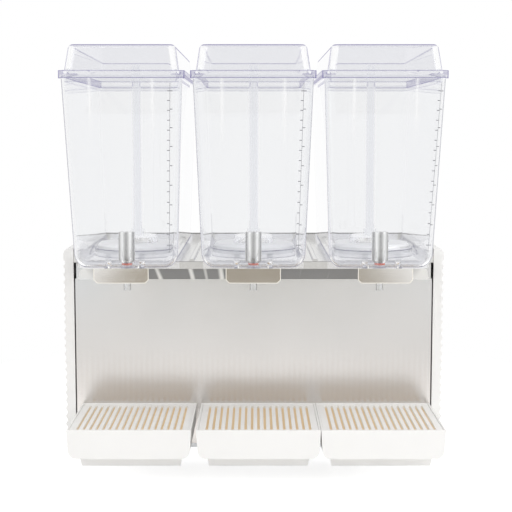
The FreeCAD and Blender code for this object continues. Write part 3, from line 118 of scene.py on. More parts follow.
class Wire:
    """A value that varies in a node graph."""

    def __init__(self, graph, socket):
        self.graph = graph
        self.socket = socket

    def math(self, operation, *values):
        return self.graph.node("ShaderNodeMath", {"operation": operation}, dict(enumerate(values)))

    def __add__(self, other):
        return self.math("ADD", self, other)

    def __radd__(self, other):
        return self.math("ADD", other, self)

    def __sub__(self, other):
        return self.math("SUBTRACT", self, other)

    def __rsub__(self, other):
        return self.math("SUBTRACT", other, self)

    def __mul__(self, other):
        return self.math("MULTIPLY", self, other)

    def __truediv__(self, other):
        return self.math("DIVIDE", self, other)

    def __gt__(self, other):
        return self.math("GREATER_THAN", self, other)

    def __lt__(self, other):
        return self.math("LESS_THAN", self, other)

    def __abs__(self):
        return self.math("ABSOLUTE", self)

    def root(self):
        return self.math("SQRT", self)

    def cosine(self):
        return self.math("COSINE", self)

    def clip(self):
        """Keep the value between 0 and 1."""
        kept = self + 0.0
        kept.socket.node.use_clamp = True
        return kept

    def above(self, start, gain):
        """Rise from 0 at the start to 1 over it."""
        return ((self - start) * gain).clip()

    def below(self, start, gain):
        """Rise from 0 at the start to 1 under it."""
        return ((start - self) * gain).clip()


class Graph:
    """Adds nodes to one node tree."""

    def __init__(self, tree):
        self.tree = tree
        tree.nodes.clear()

    def node(self, kind, settings=None, values=None, out=0):
        """Add a node: its settings first, then its sockets' values or links."""
        made = self.tree.nodes.new(kind)
        for name, setting in (settings or {}).items():
            setattr(made, name, setting)
        for key, value in (values or {}).items():
            if isinstance(value, Wire):
                self.tree.links.new(value.socket, made.inputs[key])
            else:
                made.inputs[key].default_value = value
        return Wire(self, made.outputs[out]) if made.outputs else None

    def wires(self, kind, names, values=None):
        """Add a node and give the outputs named."""
        outputs = self.node(kind, values=values).socket.node.outputs
        return [Wire(self, outputs[name]) for name in names]

    def seen(self):
        """Give where a ray comes from the eye, from a mirroring or through a clear piece."""
        camera, glossy, through = self.wires(
            "ShaderNodeLightPath", ("Is Camera Ray", "Is Glossy Ray", "Is Transmission Ray"))
        return (camera + glossy + through).clip()


class Finish(Graph):
    """One named material and the patterns that it is made of."""

    def __init__(self, name):
        self.material = bpy.data.materials.new(name)
        self.material.use_nodes = True
        super().__init__(self.material.node_tree)
        self.size = bpy.context.scene.dispenser_sizes
        self.where = self.node("ShaderNodeTexCoord", out=3)

    def axis(self, name):
        """Give the height, width or depth of a point as a number."""
        return self.wires("ShaderNodeSeparateXYZ", name, {0: self.where})[0]

    def off_axis(self):
        """Give how far to the right of the nearest bowl's middle a point stands."""
        place = self.axis("X")
        for middle in (-self.size.bowl_pitch, self.size.bowl_pitch):
            moved = place - middle
            place = place - (abs(moved) < abs(place)) * middle
        return place

    def noise(self, scale, stretch=(1, 1, 1), detail=3.0, roughness=0.55):
        """Give cloudy variation from 0 to 1."""
        place = self.node("ShaderNodeMapping", {"vector_type": "POINT"},
                          {"Vector": self.where, "Scale": stretch})
        return self.node("ShaderNodeTexNoise", values={
            "Vector": place, "Scale": scale, "Detail": detail, "Roughness": roughness})

    def lines(self, along, scale=FINE_LINES, roughness=0.7):
        """Give brushed lines."""
        return self.noise(scale, along, 2.0, roughness)

    def brushing(self, along):
        """Give fine brushed lines, and the same with coarser ones among them."""
        fine = self.lines(along)
        return fine, fine * 0.6 + self.lines(along, COARSE_LINES, 0.6) * 0.4

    def moulding(self, tone):
        """Give the grain, mottling and shade of moulded plastic."""
        mottle = self.noise(14.0, detail=4.0)
        shade = self.mix(mottle, toned(tone, 0.975), toned(tone, 1.015))
        return self.noise(1500.0, detail=2.0), mottle, shade

    def mix(self, factor, first, second):
        """Mix two colours."""
        return self.node("ShaderNodeMix", {"data_type": "RGBA"},
                         {0: factor, 6: first, 7: second}, out=2)

    def blend(self, factor, first, second):
        """Mix two shaders."""
        return self.node("ShaderNodeMixShader", values={0: factor, 1: first, 2: second})

    def glow(self, tone, strength=1.0):
        """Give off light."""
        return self.node("ShaderNodeEmission", values={"Color": tone, "Strength": strength})

    def bump(self, height, strength, distance=0.0002):
        """Turn a height pattern into a bumpy surface."""
        return self.node("ShaderNodeBump", values={
            "Strength": strength, "Distance": distance, "Height": height})

    def close(self, shader):
        """Join a shader to the output and give the material."""
        self.node("ShaderNodeOutputMaterial", values={"Surface": shader})
        return self.material

    def surface(self, **values):
        """Add the main shader and join it to the output."""
        sockets = {name.replace("_", " "): value for name, value in values.items()}
        return self.close(self.node("ShaderNodeBsdfPrincipled", values=sockets))


def colour(values):
    """Give a colour with full alpha."""
    return (values[0], values[1], values[2], 1.0)


def toned(values, factor):
    """Give a lighter or darker tone of a colour."""
    return tuple(min(1.0, part * factor) for part in values[:3]) + (1.0,)


# Finishes

def bowl_painted_shade_and_highlights(finish, faces):
    """Give where a bowl has painted edge shade, at its collar and low edge, and painted highlights,
    in two streaks.
    """
    size = finish.size
    place, height = finish.off_axis(), finish.axis("Z")
    away = finish.axis("Y") - size.hub_depth
    reach = (place * place + away * away).root()
    collar = (abs(height - size.collar_top) < COLLAR_LINE) * (reach < size.collar_reach) * 0.4
    low = (height < size.bowl_low) * (height > size.outlet_top) * (reach > FAR_FROM_HUB) * 0.16
    # Painted highlights: two bright upright streaks on the front wall
    streak = (1.0 - abs(abs(place) - size.streak_offset) / size.streak_width).clip()
    return collar + low, streak * height.above(size.streak_low, 14.0) * faces["front"] * 0.55


def lid_painted_shade_and_highlights(finish, faces):
    """Give where a lid has painted edge shade, at its crest, flange and lower skirt edge, and
    painted highlights, at its front corners.
    """
    size, across, upright = finish.size, faces["across"], faces["upright"]
    height = finish.axis("Z")
    band = (height > size.flange_low) * (height < size.flange_high)
    ends = band * (across > 0.9) * 0.28 + (height < size.skirt_low) * 0.12
    middle = (size.flange_low + size.flange_high) / 2
    half = (size.flange_high - size.flange_low) / 2
    edges = band * (abs(height - middle) > half - FLANGE_LINE) * upright * 0.35
    crest = (height > size.crest_height) * upright * 0.75
    corner = across.above(0.15, 6.0) * across.below(0.9, 6.0)
    corner = corner * (height > size.flange_high + FLANGE_GAP) * (height < size.crest_height)
    return (ends + edges + crest).clip(), corner * (1.0 - faces["front"]) * 0.85


def clear_finish(name, look, tint, edge_tone, marks):
    """Clear moulded plastic: pale, with a painted violet-grey line of edge shade where it is seen
    on edge.

    The outlets' thin walls have darker painted edge shade, and the handle lugs are thin enough to
    see straight through. What has already passed many walls is painted an even pale glow, so that
    nested clear pieces stay bright.
    """
    finish = Finish(name)
    size = finish.size
    height, depth, aside = finish.axis("Z"), finish.axis("Y"), abs(finish.off_axis())
    facing = finish.node("ShaderNodeLayerWeight", values={"Blend": 0.5}, out=1)
    across, toward, level = finish.wires(
        "ShaderNodeSeparateXYZ", "XYZ", {0: finish.node("ShaderNodeNewGeometry", out=1)})
    across, level = abs(across), abs(level)
    first, shadow, bounces, mirrorings = finish.wires(
        "ShaderNodeLightPath", ("Is Camera Ray", "Is Shadow Ray", "Ray Depth", "Glossy Depth"))
    outlet = height < size.outlet_top
    flat = ((across > SQUARE_ACROSS) + (level > SQUARE_UP)).clip()
    line = facing.above(0.5, 2.6) * (1.0 - flat) * 0.75 + outlet * facing.above(0.3, 2.2) * 0.8
    near = (first + (height < size.drawn_low) * 0.4).clip()
    drawn = finish.mix(outlet, colour(edge_tone), colour(look.outlet_edge))
    # The marks function gives where painted edge shade (dark) and painted highlights (bright) go
    dark, bright = marks(finish, {
        "across": across, "front": toward < FRONT_FACE, "upright": level < UPRIGHT_FACE})
    flow = finish.noise(9.0, (1, 1, 0.4), 2.0)
    shade = finish.mix(flow, toned(tint, 0.99), toned(tint, 1.008))
    body = finish.node("ShaderNodeBsdfPrincipled", values={
        "Base Color": shade, "Roughness": 0.0, "IOR": 1.49, "Transmission Weight": 1.0})
    straight = finish.node("ShaderNodeBsdfTransparent", values={"Color": colour(tint)})
    lug = (depth < size.lug_depth) * (height < size.lug_top) * (height > size.outlet_top)
    lug = lug * (aside > size.lug_inner) * (aside < size.lug_outer) * 0.93
    body = finish.blend(lug, body, straight)
    # Painted edge shade: a dark glow along edges seen on edge, along the outlets and at the dark
    # marks
    body = finish.blend((line * near + dark).clip(), body, finish.glow(drawn))
    # Painted highlight: a white glow in the bright marks, for rays from the eye
    body = finish.blend(first * bright, body, finish.glow(WHITE))
    # Painted light: past many walls or mirrorings the plastic glows an even pale tone
    deep = ((bounces > MANY_WALLS) + (mirrorings > MIRRORED_TWICE)).clip()
    body = finish.blend(deep, body, finish.glow(colour(look.clear_depth)))
    return finish.close(finish.blend(shadow, body, straight))


def brushed_finish(name, tone, rough, strength):
    """Brushed metal: fine upright lines, with faint cloudy marks."""
    finish = Finish(name)
    pattern = finish.brushing(ALONG_Z)[1]
    clouds = finish.noise(7.0)
    shade = finish.mix(pattern * 0.75 + clouds * 0.25, toned(tone, 0.9), toned(tone, 1.08))
    return finish.surface(
        Base_Color=shade, Metallic=1.0, Roughness=pattern * 0.14 + clouds * 0.06 + (rough - 0.1),
        Normal=finish.bump(pattern, strength))


def handle_finish(name, tone, border_highlight_tone):
    """Satin steel plate, mirroring what lies before it, with a painted highlight along its rolled
    border.
    """
    finish = Finish(name)
    size = finish.size
    aside, height = abs(finish.off_axis()), finish.axis("Z")
    corner = size.handle_half - size.handle_low - size.handle_corner - size.handle_border * 1.4
    # Painted highlight: a pale, non-metallic band along the plate's edges and cut corners
    border = (aside > size.handle_half - size.handle_border) + (aside - height > corner)
    border = (border + (height < size.handle_low + size.handle_border)).clip()
    lines, clouds = finish.lines(ALONG_X), finish.noise(40.0)
    shade = finish.mix(lines * 0.3 + clouds * 0.7, toned(tone, 0.93), toned(tone, 1.05))
    shade = finish.mix(border, shade, colour(border_highlight_tone))
    return finish.surface(
        Base_Color=shade, Metallic=1.0 - border, Roughness=lines * 0.08 + 0.06,
        Normal=finish.bump(lines, 0.05))


def panel_finish(name, tone):
    """Brushed front sheet: cloudy, with painted shade on its right side and low down, a painted
    reflection of the tray slots, and painted shade with painted highlight streaks and pale painted
    ends under the deck's overhang.
    """
    finish = Finish(name)
    size = finish.size
    across, height = finish.axis("X"), finish.axis("Z")
    lines, pattern = finish.brushing(ALONG_X)
    clouds = finish.noise(7.0, detail=4.0)
    shade = finish.mix(pattern * 0.35 + clouds * 0.65, toned(tone, 0.84), toned(tone, 0.99))
    mirrored = 0.5 - (across * (tau / size.mirrored_pitch)).cosine() * 0.5
    # Tones laid over the sheet: painted shade on the right, random warm and cool patches, a cooler
    # tone high on the left, a painted reflection of the slots and painted shade low down
    for share, layer in (
            (across.above(0.06, 6.0) * 0.4, PANEL_RIGHT_SHADE),
            (finish.noise(4.0).above(0.35, 3.0) * 0.5, PANEL_WARM),
            (finish.noise(3.0).above(0.5, 4.0) * 0.35, PANEL_COOL),
            (across.below(-0.19, 12.0) * height.above(0.2, 8.0) * 0.5, PANEL_LEFT),
            (mirrored * height.below(size.mirrored_top, 9.0) * 0.42, MIRRORED_SLOTS),
            (height.below(size.panel_fade, 6.0) * 0.85, PANEL_LOW_SHADE)):
        shade = finish.mix(share, shade, layer)
    # Under the deck's overhang the sheet is painted dark as shade, with painted highlight streaks
    # and pale painted highlights at its ends
    streak = finish.noise(48.0, (1, 0.01, 0.01), 1.0).above(0.56, 12.0)
    bright = (streak + abs(across).above(size.soffit_ends, 25.0)).clip()
    below = finish.axis("Y") < size.soffit_depth
    shade = finish.mix(below, shade, finish.mix(bright, toned(tone, 0.09), toned(tone, 1.0)))
    return finish.surface(
        Base_Color=shade, Metallic=1.0 - below * (1.0 - bright),
        Roughness=pattern * 0.05 + clouds * 0.05 + 0.16 + below * 0.16,
        Normal=finish.bump(lines, 0.18))


def deck_finish(name, tone, top):
    """Brushed deck sheet, paler under the bowls, with painted shadow lines along its rolled edges.
    """
    finish = Finish(name)
    size = finish.size
    depth, height = finish.axis("Y"), finish.axis("Z")
    lines, clouds = finish.lines(ALONG_Y), finish.noise(9.0)
    shade = finish.mix(lines * 0.5 + clouds * 0.5, toned(tone, 0.82), toned(tone, 0.98))
    shade = finish.mix((abs(finish.off_axis()) < size.base_half) * 0.6, shade, DECK_COVERED)
    # Painted shadow: dark lines along the rolled front edge and the rear ridge
    rolled = (depth < size.roll_depth) * (height > size.roll_height)
    rolled = rolled + (depth > top.y - REAR_ROLL) * (height > top.z - REAR_RIDGE)
    shade = finish.mix(rolled * 0.75, shade, DECK_ROLL_SHADOW)
    return finish.surface(
        Base_Color=shade, Metallic=1.0, Roughness=lines * 0.1 + clouds * 0.06 + 0.16,
        Normal=finish.bump(lines, 0.2))


def piston_finish(name, tone):
    """Polished steel of a turned piston, with painted reflections as soft upright streaks all
    round.
    """
    finish = Finish(name)
    across = finish.off_axis()
    turn = across.math("ARCTAN2", across, finish.size.valve_depth - finish.axis("Y"))
    rings = finish.noise(TURNED_RINGS, ROUND_Z, 2.0)
    # Painted reflection: the tone rises and falls six times round the piston
    shade = finish.mix(0.5 - (turn * 6.0).cosine() * 0.5, toned(tone, 0.52), toned(tone, 1.2))
    return finish.surface(
        Base_Color=shade, Metallic=1.0, Roughness=rings * 0.08 + 0.12,
        Normal=finish.bump(rings, 0.05))


def polished_finish(name, tone, rough=0.08):
    """Turned and polished metal with fine rings."""
    finish = Finish(name)
    rings, clouds = finish.noise(TURNED_RINGS, ROUND_Z, 2.0), finish.noise(30.0)
    shade = finish.mix(clouds, toned(tone, 0.93), toned(tone, 1.04))
    return finish.surface(
        Base_Color=shade, Metallic=1.0, Roughness=rings * 0.08 + clouds * 0.05 + rough,
        Normal=finish.bump(rings, 0.05))


def moulded_finish(name, tone, rough=0.36, gloss=0.0):
    """Moulded plastic with a fine grain and slight mottling."""
    finish = Finish(name)
    grain, mottle, shade = finish.moulding(tone)
    return finish.surface(
        Base_Color=shade, Roughness=grain * 0.08 + mottle * 0.06 + rough, Coat_Weight=gloss,
        Normal=finish.bump(grain, 0.1))


def tray_finish(name, tone, painted_basin, middle):
    """White tray plastic, with a painted warm shade inside the basin and its foot, where it also
    glows faintly as painted light.
    """
    finish = Finish(name)
    size = finish.size
    grain, mottle, shade = finish.moulding(tone)
    across, depth, height = abs(finish.axis("X") - middle), finish.axis("Y"), finish.axis("Z")
    basin = (across < size.basin_half) * (depth > size.basin_front) * (height > size.basin_floor)
    foot = (across < size.sump_half) * (depth > size.sump_front) * (height > size.sump_floor)
    inside = (basin + foot).clip() * (height < size.basin_top)
    # Painted shade inside the basin and foot: a warm tone, and below a faint painted glow in the
    # same tone
    shade = finish.mix(inside * (mottle * 0.4 + 0.6), shade, colour(painted_basin))
    return finish.surface(
        Base_Color=shade, Roughness=grain * 0.08 + mottle * 0.06 + 0.36,
        Emission_Color=finish.mix(inside, BLACK, toned(painted_basin, 0.24)), Emission_Strength=1.0,
        Normal=finish.bump(grain, 0.1))


def soft_finish(name, tone, rough=0.6):
    """Silicone or rubber: matt, with a faint bloom."""
    finish = Finish(name)
    bloom, pores = finish.noise(60.0, detail=4.0), finish.noise(2200.0, detail=2.0)
    shade = finish.mix(bloom, toned(tone, 0.9), toned(tone, 1.12))
    return finish.surface(
        Base_Color=shade, Roughness=bloom * 0.15 + rough, Normal=finish.bump(pores, 0.12, 0.0003))


def painted_finish(name, tone, rough=0.35):
    """Sprayed paint with a fine orange peel."""
    finish = Finish(name)
    peel, dust = finish.noise(340.0, detail=2.0), finish.noise(11.0, detail=5.0)
    shade = finish.mix(dust, toned(tone, 0.85), toned(tone, 1.2))
    return finish.surface(
        Base_Color=shade, Roughness=dust * 0.2 + rough, Coat_Weight=0.25,
        Normal=finish.bump(peel, 0.15, 0.0004))


def galvanised_finish(name, tone):
    """Zinc-coated sheet with its spangle."""
    finish = Finish(name)
    spangle = finish.node("ShaderNodeTexVoronoi", {"feature": "F1"},
                          {"Vector": finish.where, "Scale": 150.0}, out=1)
    level = finish.node("ShaderNodeRGBToBW", values={0: spangle})
    clouds = finish.noise(9.0)
    shade = finish.mix(level * 0.6 + clouds * 0.4, toned(tone, 0.82), toned(tone, 1.12))
    return finish.surface(
        Base_Color=shade, Metallic=0.9, Roughness=level * 0.14 + 0.34,
        Normal=finish.bump(level, 0.06, 0.0003))


def printed_finish(name, tone):
    """Printed ink with slightly uneven cover."""
    finish = Finish(name)
    cover = finish.noise(700.0)
    shade = finish.mix(cover, toned(tone, 0.8), toned(tone, 1.3))
    return finish.surface(Base_Color=shade, Roughness=cover * 0.2 + 0.45)


def finish_of(name):
    """Give a finish by name, making it the first time."""
    if name in bpy.data.materials:
        return bpy.data.materials[name]
    look = bpy.context.scene.dispenser_finishes
    trays = [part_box(f"{place}_drip_tray") for place in PLACES]
    middles = [(low.x + high.x) / 2 for low, high in trays]
    makers = {
        "clear_plastic": lambda: clear_finish(
            name, look, look.clear_tint, look.clear_edge, bowl_painted_shade_and_highlights),
        "clear_lid_plastic": lambda: clear_finish(
            name, look, look.lid_tint, look.lid_edge, lid_painted_shade_and_highlights),
        "panel_steel": lambda: panel_finish(name, look.steel_tone),
        "deck_steel": lambda: deck_finish(name, look.steel_tone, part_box("deck")[1]),
        "handle_steel": lambda: handle_finish(name, look.handle_tone, look.border_highlight_tone),
        "polished_steel": lambda: polished_finish(name, look.polished_tone),
        "piston_steel": lambda: piston_finish(name, look.polished_tone),
        "hub_steel": lambda: brushed_finish(name, look.hub_tone, 0.5, 0.04),
        "white_plastic": lambda: moulded_finish(name, look.white_tone),
        **{f"{place}_tray_plastic": partial(tray_finish, name, look.white_tone, look.painted_basin_tone, x)
           for place, x in zip(PLACES, middles)},
        "orange_silicone": lambda: soft_finish(name, look.orange_tone, 0.42),
        "gasket_rubber": lambda: soft_finish(name, (0.84, 0.84, 0.86)),
        "black_rubber": lambda: soft_finish(name, (0.035, 0.035, 0.035)),
        "galvanised_sheet": lambda: galvanised_finish(name, (0.62, 0.63, 0.64)),
        "black_paint": lambda: painted_finish(name, (0.02, 0.02, 0.022)),
        "grey_paint": lambda: painted_finish(name, (0.17, 0.18, 0.19), 0.4),
        "fin_aluminium": lambda: brushed_finish(name, (0.78, 0.79, 0.8), 0.36, 0.05),
        "copper_tube": lambda: polished_finish(name, (0.78, 0.4, 0.26), 0.22),
        "grey_plastic": lambda: moulded_finish(name, (0.27, 0.28, 0.29), 0.45),
        "black_plastic": lambda: moulded_finish(name, (0.02, 0.02, 0.02), 0.4),
        "green_plastic": lambda: moulded_finish(name, (0.015, 0.22, 0.06), 0.25, gloss=0.5),
        "magnet_coating": lambda: painted_finish(name, (0.05, 0.05, 0.055), 0.5),
        "scale_ink": lambda: printed_finish(name, look.ink_tone),
        "dial_ink": lambda: printed_finish(name, (0.75, 0.75, 0.74)),
    }
    return makers[name]()


# Pieces

def dress(node, finish, bevel=0.0):
    """Stand a smooth-shaded copy with softened edges in for a CAD node, in its finish."""
    mesh = NODES[node].data.copy()
    mesh.name = node + "_dressed"
    for name in ("custom_normal", "sharp_face", "sharp_edge"):
        if name in mesh.attributes:
            mesh.attributes.remove(mesh.attributes[name])
    shape = bmesh.new()
    shape.from_mesh(mesh)
    bmesh.ops.remove_doubles(shape, verts=shape.verts, dist=SAME_POINT)
    bmesh.ops.dissolve_degenerate(shape, edges=shape.edges, dist=NO_LENGTH)
    bmesh.ops.dissolve_limit(shape, angle_limit=ALMOST_FLAT, verts=shape.verts,
                             edges=shape.edges)
    shape.to_mesh(mesh)
    shape.free()
    mesh.shade_smooth()
    mesh.set_sharp_from_angle(angle=SHARP)
    mesh.materials.clear()
    mesh.materials.append(finish_of(finish))
    piece = bpy.data.objects.new(node + "_dressed", mesh)
    bpy.context.scene.collection.objects.link(piece)
    if bevel:
        edge = piece.modifiers.new("softened_edges", "BEVEL")
        edge.limit_method = "ANGLE"
        edge.angle_limit = BEVELLED
        edge.width = bevel
        edge.segments = 2
        edge.harden_normals = True
        edge.use_clamp_overlap = True
    else:
        even = piece.modifiers.new("even_shading", "WEIGHTED_NORMAL")
        even.keep_sharp = True
    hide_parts(node)
    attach(piece, BODY_OF[node])


def baked(name, tree, inputs, body):
    """Run a node tree that makes a mesh, and keep the result as a plain piece."""
    holder = bpy.data.objects.new(name + "_tree", bpy.data.meshes.new(name + "_tree"))
    bpy.context.scene.collection.objects.link(holder)
    work = holder.modifiers.new("marks", "NODES")
    work.node_group = tree
    for item in tree.interface.items_tree:
        if item.item_type == "SOCKET" and item.in_out == "INPUT" and item.name in inputs:
            work[item.identifier] = inputs[item.name]
    bpy.context.view_layer.update()
    shape = bpy.data.meshes.new_from_object(
        holder.evaluated_get(bpy.context.evaluated_depsgraph_get()))
    if not shape.polygons:
        raise RuntimeError(f"{name} came out empty")
    holder.modifiers.remove(work)
    bpy.data.objects.remove(holder)
    shape.name = name
    piece = bpy.data.objects.new(name, shape)
    bpy.context.scene.collection.objects.link(piece)
    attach(piece, body)


def new_tree(name, inputs):
    """Start a geometry tree with named inputs and give its graph and input wires."""
    tree = bpy.data.node_groups.new(name, "GeometryNodeTree")
    tree.interface.new_socket("Geometry", in_out="OUTPUT", socket_type="NodeSocketGeometry")
    for label, (kind, default) in inputs.items():
        socket = tree.interface.new_socket(label, in_out="INPUT", socket_type=kind)
        socket.default_value = default
    graph = Graph(tree)
    entry = tree.nodes.new("NodeGroupInput")
    wires = {label: Wire(graph, entry.outputs[label]) for label in inputs}
    return tree, graph, wires


def close_tree(graph, geometry, finish):
    """End a geometry tree in plain faces of one finish."""
    real = graph.node("GeometryNodeRealizeInstances", values={0: geometry})
    painted = graph.node("GeometryNodeSetMaterial", values={0: real, 2: finish_of(finish)})
    graph.node("NodeGroupOutput", values={0: painted})


# Printed scales

def scale_tree():
    """A line with short marks on both sides, laid on the rounded front wall of a bowl."""
    tree, graph, wire = new_tree("printed_scale", {
        "Left marks": ("NodeSocketInt", 16), "Right marks": ("NodeSocketInt", 9),
        "Low mark": (NUMBER, 0.375), "High mark": (NUMBER, 0.605),
        "Line low": (NUMBER, 0.363), "Line high": (NUMBER, 0.617),
        "Centre": (NUMBER, 0.0), "Low offset": (NUMBER, 0.07), "High offset": (NUMBER, 0.076),
        "Mark length": (NUMBER, 0.004), "Stroke": (NUMBER, 0.0009), "Print": (NUMBER, 0.00012),
        "Crowding": (NUMBER, 0.09)})

    def bar(width, height, across, up):
        return graph.node("GeometryNodeMeshCube", values={
            "Size": graph.node("ShaderNodeCombineXYZ",
                               values={0: width, 1: wire["Print"], 2: height}),
            "Vertices X": across, "Vertices Z": up})

    def marks(count, side):
        """One row of marks from the lowest to the highest, spaced for the bowl's taper."""
        step = graph.node("GeometryNodeInputIndex") / (count - 1.0)
        share = step * (1.0 + wire["Crowding"] * (1.0 - step))
        height = wire["Low mark"] + share * (wire["High mark"] - wire["Low mark"])
        place = graph.node("ShaderNodeCombineXYZ",
                           values={0: wire["Mark length"] * (side * 0.5), 2: height})
        points = graph.node("GeometryNodePoints", values={"Count": count, "Position": place})
        return graph.node("GeometryNodeInstanceOnPoints", values={
            "Points": points, "Instance": bar(wire["Mark length"], wire["Stroke"], 4, 2)})

    length = wire["Line high"] - wire["Line low"]
    line = graph.node("GeometryNodeTransform", values={
        "Geometry": bar(wire["Stroke"] * 0.45, length, 2, 12),
        "Translation": graph.node("ShaderNodeCombineXYZ",
                                  values={2: wire["Line low"] + length * 0.5})})
    flat = graph.node("GeometryNodeJoinGeometry")
    for part in (line, marks(wire["Left marks"], -1), marks(wire["Right marks"], 1)):
        graph.tree.links.new(part.socket, flat.socket.node.inputs[0])
    flat = graph.node("GeometryNodeRealizeInstances", values={0: flat})
    across, out, up = graph.wires("ShaderNodeSeparateXYZ", "XYZ",
                                  {0: graph.node("GeometryNodeInputPosition")})
    rise = (up - wire["Line low"]) / length
    offset = across + wire["Low offset"] + rise * (wire["High offset"] - wire["Low offset"])
    size = bpy.context.scene.dispenser_sizes
    climb = (up - size.wall_low) * (1.0 / (size.wall_high - size.wall_low))
    front = size.front_low + climb * (size.front_high - size.front_low)
    side = size.half_low + climb * (size.half_high - size.half_low)
    over = offset - side + size.corner
    past = over.math("MAXIMUM", over, 0.0)
    left_over = size.corner ** 2 - past * past
    wall = front + (size.corner - left_over.math("MAXIMUM", left_over, 0.0).root())
    laid = graph.node("GeometryNodeSetPosition", values={
        "Geometry": flat,
        "Position": graph.node("ShaderNodeCombineXYZ", values={
            0: wire["Centre"] + offset, 1: wall + out - wire["Print"] * 0.6, 2: up})})
    close_tree(graph, laid, "scale_ink")
    return tree


def print_scales():
    """Print the filling scale on each bowl."""
    size = bpy.context.scene.dispenser_sizes
    tree = scale_tree()
    for index, place in enumerate(PLACES):
        low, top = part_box(f"{place}_bowl")
        baked(f"{place}_scale", tree, {
            "Centre": (low.x + top.x) / 2, "Low offset": size.scale_feet[index],
            "High offset": size.scale_tops[index], "Left marks": size.scale_marks,
            "Mark length": size.mark_length, "Stroke": size.mark_stroke,
        }, f"{place}_bowl_unit")


# The thermostat's dial

def dial_tree():
    """Even marks in an arc round the thermostat's knob, on the rear panel."""
    tree, graph, wire = new_tree("dial_marks", {
        "Marks": ("NodeSocketInt", 11), "Radius": (NUMBER, 0.0165), "Sweep": (NUMBER, 4.712),
        "Length": (NUMBER, 0.0028), "Stroke": (NUMBER, 0.0007), "Print": (NUMBER, 0.0002),
        "X": (NUMBER, 0.0), "Y": (NUMBER, 0.0), "Z": (NUMBER, 0.0)})
    step = graph.node("GeometryNodeInputIndex") / (wire["Marks"] - 1.0)
    turn = (step - 0.5) * wire["Sweep"]
    place = graph.node("ShaderNodeCombineXYZ", values={
        0: turn.math("SINE", turn) * wire["Radius"], 2: turn.cosine() * wire["Radius"]})
    points = graph.node("GeometryNodePoints", values={"Count": wire["Marks"], "Position": place})
    mark = graph.node("GeometryNodeMeshCube", values={"Size": graph.node(
        "ShaderNodeCombineXYZ",
        values={0: wire["Stroke"], 1: wire["Print"], 2: wire["Length"]})})
    turned = graph.node("ShaderNodeCombineXYZ", values={1: turn})
    row = graph.node("GeometryNodeInstanceOnPoints", values={
        "Points": points, "Instance": mark,
        "Rotation": graph.node("FunctionNodeEulerToRotation", values={0: turned})})
    moved = graph.node("GeometryNodeTransform", values={
        "Geometry": row, "Translation": graph.node(
            "ShaderNodeCombineXYZ", values={0: wire["X"], 1: wire["Y"], 2: wire["Z"]})})
    close_tree(graph, moved, "dial_ink")
    return tree


# Settings

def length_property(label, words, default):
    """Give one length setting."""
    return FloatProperty(name=label, description=words, default=default, unit="LENGTH")


